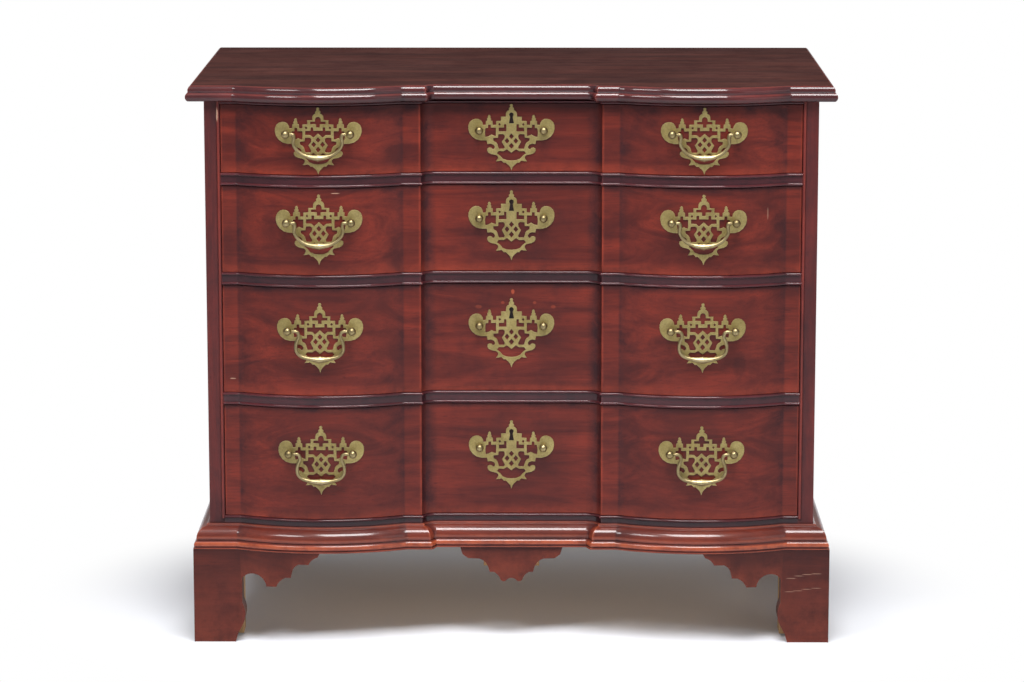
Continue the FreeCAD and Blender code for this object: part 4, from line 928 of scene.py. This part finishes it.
plate = {
    "thickness": 0.0016, "chamfer": 0.0003, "opened": 0.4, "standOff": 0.00005, "slice": 0.004, "slices": 15,
    # the rim and chamfer are lightened partly by wear and partly as a painted highlight, and the face is worn
    # a little
    "rimWearAndSheen": 0.55, "faceWear": 0.1,
    # the right halves of outline and holes, in millimetres from the post row
    "edge": [
        (0, 39.3), (1.6, 38.8), (2.3, 37.2), (1.4, 35.1), (3.7, 32.9), (3.6, 31.3), (2.6, 30.2),
        (5.2, 29.2), (7.2, 26.9), (7.8, 24.1), (7.8, 20.1), (14.8, 20.1), (14.5, 13.9), (21.6, 13.5),
        (21.5, 8), (26.4, 7.8), (26.6, 13.6), (28.9, 14.5), (28.5, 17.1), (29.7, 18.9), (29.2, 20.6),
        (30.6, 22.8), (32, 22.9), (33.4, 20.6), (32.8, 19.1), (34.6, 17.2), (33.8, 14.5), (36, 13.5),
        (36.1, 8.2), (40.1, 7.6), (40.8, 11.4), (43, 14.8), (46.6, 16.8), (50.7, 17), (55, 15.6),
        (58.7, 12.2), (60.6, 7.4), (60.8, 2.1), (59.2, -4), (55.4, -9.5), (49.8, -13.5), (43.2, -15.2),
        (34.8, -15.2), (33.8, -20.8), (29.2, -20.1), (25.4, -21.6), (23.2, -24.7), (23.9, -27.5),
        (26.2, -28.8), (28.2, -26.6), (31, -26), (33.8, -27.4), (34.2, -30.5), (32.4, -33.6), (28.6, -35.7),
        (21, -37.4), (18.9, -39.5), (18.8, -42.4), (21.8, -46.8), (16.9, -46.2), (14.4, -45.4),
        (12.3, -47.2), (11, -48.9), (7.9, -48.7), (6, -50.8), (4, -52.5), (1.6, -55.6), (0, -60.7),
    ],
    "lattice": [
        [(0, -5.4), (3.1, -9.3), (0, -12.9)], [(0, -19.5), (3.3, -23.6), (0, -27.4)],
        [(0, -34.2), (6.4, -29), (10.9, -31.9), (17.9, -31.6), (20.2, -34.8), (15.9, -37.9), (12.2, -42.4),
         (6.5, -44.7), (0, -45.3)],
    ],
    "handle": [
        [(0, 25.2), (2.7, 24), (3.7, 21.4), (3.8, 18), (10.4, 17.8), (10.4, 14.6), (2.2, 14.4), (2.2, 9.7),
         (0, 9.7)],
        [(0, 4.3), (6.8, 4.2), (6.9, 9.2), (10, 9.2), (10.1, 4.1), (17.6, 4), (17.6, -1.5), (10.6, -1.7),
         (6.6, -5.2), (0, 0.8)],
    ],
    "keyhole": [[(0, 26.5), (2.2, 25.4), (3, 23.3), (1.5, 19.7), (3.2, 10.4), (0, 10.4)]],
    "flanks": [
        [(6.2, -12.1), (9.3, -16.1), (6.2, -19.9), (3.2, -16.1)],
        [(29.5, 8.1), (32.5, 8), (32.7, 3.2), (36.3, 2.8), (37, -3.9), (36.4, -9.8), (32.6, -9), (28, -6.2),
         (24.9, -7.8), (22.3, -8.4), (22.2, 3.5), (29.2, 3.3)],
        [(10.6, -7), (12.1, -6.1), (18, -6.4), (18.5, -11.6), (25.4, -12.2), (25, -15.9), (21.3, -18),
         (19.4, -20.9), (18.5, -24.4), (17.4, -27.6), (10.5, -27.5), (9.8, -25.2), (14, -17.3),
         (10.2, -12.1), (9.8, -8.8)],
        [(16.7, 10.4), (18.2, 8.7), (16.7, 7), (15.2, 8.7)],
    ],
    "escutcheonFlank": [(7.6, 8.7), (10.2, 8.6), (10.1, 3.8), (17.6, 3.4), (17.5, -1.6), (7.4, -1.5)],
    "keyholeRoom": (-3.6, 9.8, 3.6, 27), "shade": (0.00004, 0.001),
}
plate["height"] = plate["edge"][0][1] - plate["edge"][-1][1]


def plateRow(n):
    # the height of the posts, and how far a drawer's plates are from full height
    low, high = (corner[2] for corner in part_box(f"drawer_{n}_handle_plates"))
    scale = (high - low) / (plate["height"] * mm)
    return low - plate["edge"][-1][1] * mm * scale, scale


def opened(points, by):
    # a hole's outline moved outward all round; its points run either way
    turns = sum(a[0] * b[1] - b[0] * a[1] for a, b in zip(points, points[1:] + points[:1]))
    hand, wider = math.copysign(1, turns), []
    for i in range(len(points)):
        before, here, after = (Vector(points[k % len(points)]) for k in (i - 1, i, i + 1))
        first, second = (here - before).normalized(), (after - here).normalized()
        away = Vector((first.y + second.y, -first.x - second.x)) * hand
        if away.length > 1e-6:
            away = away.normalized() / max(0.5, math.cos(first.angle(second) / 2))
        wider.append(tuple(here + away * by))
    return wider


def piercedMesh(name, middleHoles, sideHoles, scale):
    # flat in front view: x across, z up, and y from 0 at the seat to minus the thickness
    thickness, chamfer = plate["thickness"], plate["chamfer"]
    wires = [mirroredOutline(plate["edge"])]
    wires += [opened(mirroredOutline(hole), plate["opened"]) for hole in middleHoles]
    for hole in sideHoles:
        hole = opened(outlinePoints(hole), plate["opened"])
        wires += [hole, [(-x, z) for x, z in reversed(hole)]]
    flat = bpy.data.curves.new(name, "CURVE")
    flat.dimensions, flat.fill_mode = "2D", "BOTH"
    flat.extrude, flat.bevel_depth = thickness / 2 - chamfer, chamfer
    flat.offset, flat.bevel_resolution = -chamfer, 1
    for points in wires:
        spline = flat.splines.new("POLY")
        spline.points.add(len(points) - 1)
        for target, (x, z) in zip(spline.points, points):
            target.co = (x * mm, z * mm * scale, 0, 1)
        spline.use_cyclic_u = True
    holder = linked(name, flat)
    mesh = baked(holder)
    bpy.data.objects.remove(holder)
    work = bmesh.new()
    work.from_mesh(mesh)
    bmesh.ops.remove_doubles(work, verts=work.verts, dist=2e-6)
    sliced(work, [k * plate["slice"] for k in range(-plate["slices"], plate["slices"] + 1)])
    wearLayer = work.verts.layers.float.new("wearAndSheen")
    for vertex in work.verts:
        x, z, out = vertex.co
        # painted highlight and wear along the rim and chamfer
        vertex[wearLayer] = plate["rimWearAndSheen"] if abs(out) < thickness / 2 - 2e-5 else plate["faceWear"]
        vertex.co = (x, -(out + thickness / 2), z)
    work.to_mesh(mesh)
    work.free()
    return mesh


def makeHandlePlates(n):
    # each plate is bent to its block
    row, scale = plateRow(n)
    radius = facade["blockRadius"] - front["setback"] + plate["standOff"]
    centre = facade["plane"] + facade["blockRadius"] - facade["bow"]
    straight = piercedMesh("handlePlate", plate["handle"] + plate["lattice"], plate["flanks"], scale)
    pair = []
    for hand in (-1, 1):
        mesh = straight.copy()
        for vertex in mesh.vertices:
            x, y, z = vertex.co
            bent = centre - math.sqrt((radius - y) ** 2 - x ** 2)
            vertex.co = (hand * facade["blockMiddle"] + x, bent, row + z)
        pair.append(mesh)
    piece = addPiece(f"drawer{n}HandlePlates", joined(pair, f"drawer{n}HandlePlates"), plateBrass)
    settle(piece, f"drawer_{n}", f"drawer_{n}_handle_plates")


def makeEscutcheon(n):
    row, scale = plateRow(n)
    flanks = plate["flanks"] + [plate["escutcheonFlank"]]
    mesh = piercedMesh("escutcheon", plate["keyhole"] + plate["lattice"], flanks, scale)
    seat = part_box(f"drawer_{n}_escutcheon")[1][1]
    for vertex in mesh.vertices:
        vertex.co += Vector((0, seat - plate["standOff"], row))
    body = f"drawer_{n}"
    settle(addPiece(f"drawer{n}Escutcheon", mesh, plateBrass), body, f"drawer_{n}_escutcheon")
    left, bottom, right, upper = (value * mm for value in plate["keyholeRoom"])
    behind, deep = plate["shade"]
    dark = block3d((left, seat - behind, row + bottom * scale), (right, seat + deep, row + upper * scale))
    dark.name = dark.data.name = f"drawer{n}KeyholeShade"
    dark.data.materials.append(keyholeDark)
    settle(dark, body)


for n in drawers:
    makeHandlePlates(n)
    makeEscutcheon(n)
print("plates and escutcheons made")


# turned posts and studs

turnings = {
    "ballSegments": 28, "ballRings": 16, "roundSides": 24, "neckSides": 20, "shankSides": 12, "nutSides": 6,
    "flangeHeight": 0.0016, "collarHeight": 0.0014, "collarPlace": 0.72, "collarShare": 0.82,
    "nutHeight": 0.0038, "nutPlace": 0.0021,
}
post = {
    "spacing": 0.091, "seat": -0.02494, "reach": 0.0115, "ball": 0.0059, "neck": 0.003, "flange": 0.0038,
    "length": 0.0377, "nut": 0.0055, "shank": 0.0023,
}
stud = {
    "seat": 0.0139, "reach": 0.0056, "ball": 0.0058, "neck": 0.003, "flange": 0.0034,
    "length": 0.012, "nut": 0.0012, "shank": 0.0014,
}
turnedSizes = ("Ball", "Reach", "Neck", "Flange", "Length", "Nut", "Shank")


def newTree(name, sizes):
    # a tree that takes points, sizes and a finish
    tree = bpy.data.node_groups.new(name, "GeometryNodeTree")
    inputs = [("Geometry", "Geometry")] + [(label, "Float") for label in sizes] + [("Finish", "Material")]
    for label, kind in inputs:
        tree.interface.new_socket(label, in_out="INPUT", socket_type="NodeSocket" + kind)
    tree.interface.new_socket("Geometry", in_out="OUTPUT", socket_type="NodeSocketGeometry")
    return tree, tree.nodes.new("NodeGroupInput").outputs


def turned(tree, kind, settings, along):
    # a round solid laid on the Y axis, its centre or base `along` it
    node = tree.nodes.new("GeometryNodeMesh" + kind)
    for label, value in settings.items():
        feed(tree, node.inputs[label], value)
    move = tree.nodes.new("GeometryNodeTransform")
    move.inputs["Rotation"].default_value = (quarter, 0, 0)
    offset = tree.nodes.new("ShaderNodeCombineXYZ")
    feed(tree, offset.inputs["Y"], along)
    wire(tree, offset.outputs[0], move.inputs["Translation"])
    wire(tree, node.outputs["Mesh"], move.inputs["Geometry"])
    return move.outputs["Geometry"]


def finishTree(tree, given, parts):
    # the parts joined, set on every point, made real and given their finish
    join = tree.nodes.new("GeometryNodeJoinGeometry")
    for part in parts:
        wire(tree, part, join.inputs[0])
    spread = tree.nodes.new("GeometryNodeInstanceOnPoints")
    real = tree.nodes.new("GeometryNodeRealizeInstances")
    dress = tree.nodes.new("GeometryNodeSetMaterial")
    wire(tree, given["Geometry"], spread.inputs["Points"])
    wire(tree, join.outputs[0], spread.inputs["Instance"])
    wire(tree, spread.outputs["Instances"], real.inputs[0])
    wire(tree, real.outputs[0], dress.inputs["Geometry"])
    wire(tree, given["Finish"], dress.inputs["Material"])
    wire(tree, dress.outputs[0], tree.nodes.new("NodeGroupOutput").inputs[0])
    return tree


def buildTurnedTree():
    # a ball on a waisted neck and flange, with its shank and nut behind, at every given point
    tree, size = newTree("turnedPosts", turnedSizes)
    sides = turnings["roundSides"]
    back = times(tree, size["Reach"], -1.0)
    collar = mathNode(tree, "MULTIPLY_ADD", size["Ball"], turnings["collarPlace"], back)
    ball = {"Segments": turnings["ballSegments"], "Rings": turnings["ballRings"], "Radius": size["Ball"]}
    neck = {"Vertices": turnings["neckSides"], "Radius": size["Neck"], "Depth": size["Reach"]}
    flange = {"Vertices": sides, "Depth": turnings["flangeHeight"],
              "Radius Bottom": size["Flange"], "Radius Top": size["Neck"]}
    cup = {"Vertices": sides, "Depth": turnings["collarHeight"], "Radius Bottom": size["Neck"],
           "Radius Top": times(tree, size["Ball"], turnings["collarShare"])}
    shank = {"Vertices": turnings["shankSides"], "Radius": size["Shank"], "Depth": size["Length"]}
    nut = {"Vertices": turnings["nutSides"], "Depth": turnings["nutHeight"], "Radius": size["Nut"]}
    return finishTree(tree, size, [
        turned(tree, "UVSphere", ball, back),
        turned(tree, "Cylinder", neck, times(tree, size["Reach"], -0.5)),
        turned(tree, "Cone", flange, 0.0),
        turned(tree, "Cone", cup, collar),
        turned(tree, "Cylinder", shank, times(tree, size["Length"], 0.5)),
        turned(tree, "Cylinder", nut, mathNode(tree, "ADD", size["Length"], turnings["nutPlace"])),
    ])


def grow(name, points, tree, values):
    # points through a tree, as a plain mesh; each value goes to its socket by identifier
    mesh = bpy.data.meshes.new(name)
    mesh.from_pydata(points, [], [])
    holder = linked(name, mesh)
    step = holder.modifiers.new(name, "NODES")
    step.node_group = tree
    for item in tree.interface.items_tree:
        if item.in_out == "INPUT" and item.name in values:
            step[item.identifier] = values[item.name]
    result = baked(holder)
    bpy.data.objects.remove(holder)
    return result


turnedTree = buildTurnedTree()


def makePosts(n):
    row, half = plateRow(n)[0], post["spacing"] / 2
    handles = [(middle + end * half, facade["plane"] + post["seat"], row)
               for middle in (-facade["blockMiddle"], facade["blockMiddle"]) for end in (-1, 1)]
    studs = [(end * half, facade["plane"] + stud["seat"], row) for end in (-1, 1)]
    meshes = []
    for points, sizes in ((handles, post), (studs, stud)):
        values = {label: sizes[label.lower()] for label in turnedSizes}
        meshes.append(grow("posts", points, turnedTree, dict(values, Finish=castBrass)))
    piece = addPiece(f"drawer{n}Posts", joined(meshes, f"drawer{n}Posts"), castBrass, 40)
    settle(piece, f"drawer_{n}", f"drawer_{n}_posts")


for n in drawers:
    makePosts(n)
print("posts and studs made")


# bails

bail = {
    # the right halves: (x, z, how far the round has thickened from arm to grip), in millimetres
    "plain": [
        (38.6, 0, 0), (34.6, -0.3, 0.15), (33.4, -4.4, 0.2), (34.3, -10.5, 0), (33.3, -15.6, 0),
        (30.3, -20.7, 0), (25, -25.9, 0.1), (17.5, -30, 0.25), (9, -32.2, 0.6), (0, -33, 1),
    ],
    "swan": [
        (38.6, 0, 0), (34.5, 0.3, 0), (30.8, -1.6, 0), (29.5, -5.5, 0), (30.2, -9.5, 0), (32.2, -14, 0),
        (33.6, -20.5, 0), (32.8, -28, 0), (29, -33.6, 0.05), (23.2, -37, 0.1), (15.4, -38.9, 0.25),
        (8, -40, 0.6), (0, -40.5, 1),
    ],
    "armRadius": 2.35, "plainGrip": 4.0, "swanGrip": 4.3, "pinRadius": 1.5, "pinEnd": 43.1, "pinRoot": 1.2,
    "sides": 16, "steps": 7, "gripWear": 0.35, "armWear": 0.1, "gripFrom": 0.6,
    # the grip is slightly squared, and has a small ridge round its middle
    "squared": 0.1, "squaredOver": 1.5, "ridge": 0.7, "ridgeHalf": 1.6, "ridgeBelow": -10,
}


def smoothPath(points, steps):
    # a smooth line through every point (x, z, radius)
    path = []
    last = len(points) - 1
    for i in range(last):
        before, start, end, after = (Vector(points[min(max(k, 0), last)]) for k in (i - 1, i, i + 1, i + 2))
        for k in range(steps):
            t = k / steps
            bend = 2 * before - 5 * start + 4 * end - after
            twist = 3 * start - before - 3 * end + after
            path.append(0.5 * ((2 * start) + (end - before) * t + bend * t * t + twist * t ** 3))
    return path + [Vector(points[-1])]


def bailMesh(name, half, grip):
    arm, sides = bail["armRadius"], bail["sides"]
    right = [(x, z, arm + share * (grip - arm)) for x, z, share in half]
    points = right + [(-x, z, radius) for x, z, radius in reversed(right[:-1])]
    pin = [Vector((x, 0, bail["pinRadius"])) for x in (bail["pinEnd"], half[0][0] + bail["pinRoot"])]
    farPin = [Vector((-x, z, radius)) for x, z, radius in reversed(pin)]
    path = pin + smoothPath(points, bail["steps"]) + farPin
    last = len(path) - 1
    vertices, faces, wearAndSheen = [], [], []
    for i, (x, z, thick) in enumerate(path):
        along = path[min(i + 1, last)] - path[max(i - 1, 0)]
        across = Vector((-along[1], along[0])).normalized()
        ridge = bail["ridge"] * max(0, 1 - abs(x) / bail["ridgeHalf"]) if z < bail["ridgeBelow"] else 0
        squared = bail["squared"] * min(1, max(0, thick - arm) / bail["squaredOver"])
        for k in range(sides):
            angle = 2 * math.pi * k / sides
            radius = thick * (1 + squared * math.cos(4 * angle)) + ridge * abs(math.cos(angle)) ** 3
            sideways, out = radius * math.cos(angle), radius * math.sin(angle)
            vertices.append(((x + across[0] * sideways) * mm, out * mm, (z + across[1] * sideways) * mm))
            wearAndSheen.append(bail["gripWear"] if thick > arm + bail["gripFrom"] else bail["armWear"])
    for i in range(last):
        for k in range(sides):
            j = (k + 1) % sides
            faces.append((i * sides + k, i * sides + j, (i + 1) * sides + j, (i + 1) * sides + k))
    faces += [tuple(range(sides)), tuple(range(last * sides, len(path) * sides))]
    mesh = meshFrom(name, vertices, faces, wearAndSheen)
    tidyNormals(mesh)
    return mesh


def makeBails():
    # the two upper drawers have plain bails, the two lower ones swan-necked bails
    plain = bailMesh("plainBail", bail["plain"], bail["plainGrip"])
    swan = bailMesh("swanBail", bail["swan"], bail["swanGrip"])
    for n in drawers:
        for hand, label in ((-1, "left"), (1, "right")):
            mesh = (plain if n < 3 else swan).copy()
            y = facade["plane"] + post["seat"] - post["reach"]
            mesh.transform(Matrix.Translation((hand * facade["blockMiddle"], y, plateRow(n)[0])))
            piece = addPiece(f"drawer{n}Bail{label.title()}", mesh, castBrass, 60)
            settle(piece, f"bail_{n}_{label}", f"drawer_{n}_bail_{label}")


makeBails()
print("bails made")


# nails and carried-over pieces

nail = {
    "radius": 0.0032, "thickness": 0.0008, "crownShare": 0.45, "sides": 9,
    "inset": 0.005, "boards": 3, "rows": 2,      # two rows to a board
}


def buildNailTree():
    # a flat rose head, struck low, at every given point
    tree, size = newTree("backNails", ("Head Radius", "Head Thickness"))
    radius, thickness = size["Head Radius"], size["Head Thickness"]
    head = {"Vertices": nail["sides"], "Radius Top": radius, "Depth": thickness,
            "Radius Bottom": times(tree, radius, nail["crownShare"])}
    return finishTree(tree, size, [turned(tree, "Cone", head, thickness)])


def makeNails():
    low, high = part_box("back_boards")
    pitch = (high[2] - low[2]) / nail["boards"] / nail["rows"]
    heights = [low[2] + pitch * (k + 0.5) for k in range(nail["boards"] * nail["rows"])]
    points = [(hand * (high[0] - nail["inset"]), high[1], z) for z in heights for hand in (-1, 1)]
    values = {"Head Radius": nail["radius"], "Head Thickness": nail["thickness"], "Finish": lockIron}
    mesh = grow("backBoardNails", points, buildNailTree(), values)
    settle(addPiece("backBoardNails", mesh, lockIron, 40), "case")


def dressNodes():
    # every CAD node that stays gets the finish of its own wood or metal
    finishes = {
        "back_boards": pineBack, "case_bottom": pine, "rear_top_rail": pine, "drawer_runners": pineAcross,
        "drawer_stops": pineAcross, "foot_glue_blocks": pine, "rear_feet": footWood,
    }
    drawerFinishes = {"carcass": pineAcross, "bottom": pine, "lock": lockIron, "lock_bolt": lockIron}
    for n in drawers:
        finishes.update({f"drawer_{n}_{part}": finish for part, finish in drawerFinishes.items()})
    for node, finish in finishes.items():
        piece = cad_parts[node]
        piece.data.materials.clear()
        piece.data.materials.append(finish)


makeNails()
dressNodes()
print("nails made, carried-over pieces dressed")


# floor, light and camera

studio = {
    "floorHalf": 9.0, "floorTone": tone(234, 237, 244), "floorRough": 0.9, "floorShine": 0.1,
    "fadeStart": 0.42, "fadeEnd": 0.74, "fadeStretch": (1, 1.2, 1),      # where the floor turns plain white
    "worldLight": 0.24, "worldGloss": 0.25,
    "lamps": [
        {"name": "key", "at": (-1.7, -2.6, 3.5), "size": 1.0, "power": 52},
        {"name": "softbox", "at": (0.2, -1.6, 3.3), "size": 1.4, "power": 134},
        {"name": "fill", "at": (3.2, -3.6, 1.6), "size": 2.4, "power": 16},
        {"name": "rear", "at": (0.3, 2.6, 0.38), "size": 0.7, "power": 14},
    ],
    "aim": (0, 0, 0.42),
}
camera = {"at": (0.0305, -5.4215, 1.3956), "pitch": 10.476, "turn": 0.3266, "lens": 130.8}


def seenShare(tree):
    # 1 for what the camera sees itself, and a softer share for what polish and metal mirror
    path = tree.nodes.new("ShaderNodeLightPath")
    mirrored = times(tree, path.outputs["Is Glossy Ray"], studio["worldGloss"])
    return mathNode(tree, "MAXIMUM", path.outputs["Is Camera Ray"], mirrored)


def makeFloor():
    half = studio["floorHalf"]
    corners = [(-half, -half, 0), (half, -half, 0), (half, half, 0), (-half, half, 0)]
    mesh = meshFrom("floor", corners, [(0, 1, 2, 3)])
    floor = addPiece("floor", mesh, smoothTo=None)
    material = bpy.data.materials.new("paleFloor")
    material.use_nodes = True
    tree = material.node_tree
    shader = tree.nodes["Principled BSDF"]
    shader.inputs["Base Color"].default_value = studio["floorTone"]
    shader.inputs["Roughness"].default_value = studio["floorRough"]
    shader.inputs["Specular IOR Level"].default_value = studio["floorShine"]
    place = tree.nodes.new("ShaderNodeTexCoord").outputs["Object"]
    distance = vectorNode(tree, "LENGTH", stretched(tree, place, studio["fadeStretch"]))
    far = between(tree, distance, studio["fadeStart"], studio["fadeEnd"])
    white = tree.nodes.new("ShaderNodeEmission")
    mix = tree.nodes.new("ShaderNodeMixShader")
    wire(tree, times(tree, seenShare(tree), far), mix.inputs[0])
    wire(tree, shader.outputs[0], mix.inputs[1])
    wire(tree, white.outputs[0], mix.inputs[2])
    wire(tree, mix.outputs[0], tree.nodes["Material Output"].inputs["Surface"])
    mesh.materials.append(material)


def makeWorld():
    world = bpy.data.worlds.new("studio")
    bpy.context.scene.world = world
    world.use_nodes = True
    tree = world.node_tree
    strength = mathNode(tree, "MAXIMUM", seenShare(tree), studio["worldLight"])
    wire(tree, strength, tree.nodes["Background"].inputs["Strength"])
    tree.nodes["Background"].inputs["Color"].default_value = (1, 1, 1, 1)


def makeLamps():
    for lamp in studio["lamps"]:
        light = bpy.data.lights.new(lamp["name"], "AREA")
        light.size, light.energy = lamp["size"], lamp["power"]
        holder = linked(lamp["name"], light)
        holder.location = lamp["at"]
        beam = Vector(studio["aim"]) - holder.location
        holder.rotation_euler = beam.to_track_quat("-Z", "Y").to_euler()


def makeCamera():
    view = bpy.data.cameras.new("camera")
    view.lens = camera["lens"]
    holder = linked("camera", view)
    holder.location = camera["at"]
    holder.rotation_euler = (math.radians(90 - camera["pitch"]), 0, math.radians(camera["turn"]))
    bpy.context.scene.camera = holder
    bpy.context.scene.view_settings.view_transform = "Standard"


makeFloor()
makeWorld()
makeLamps()
makeCamera()
print("floor, light and camera made")
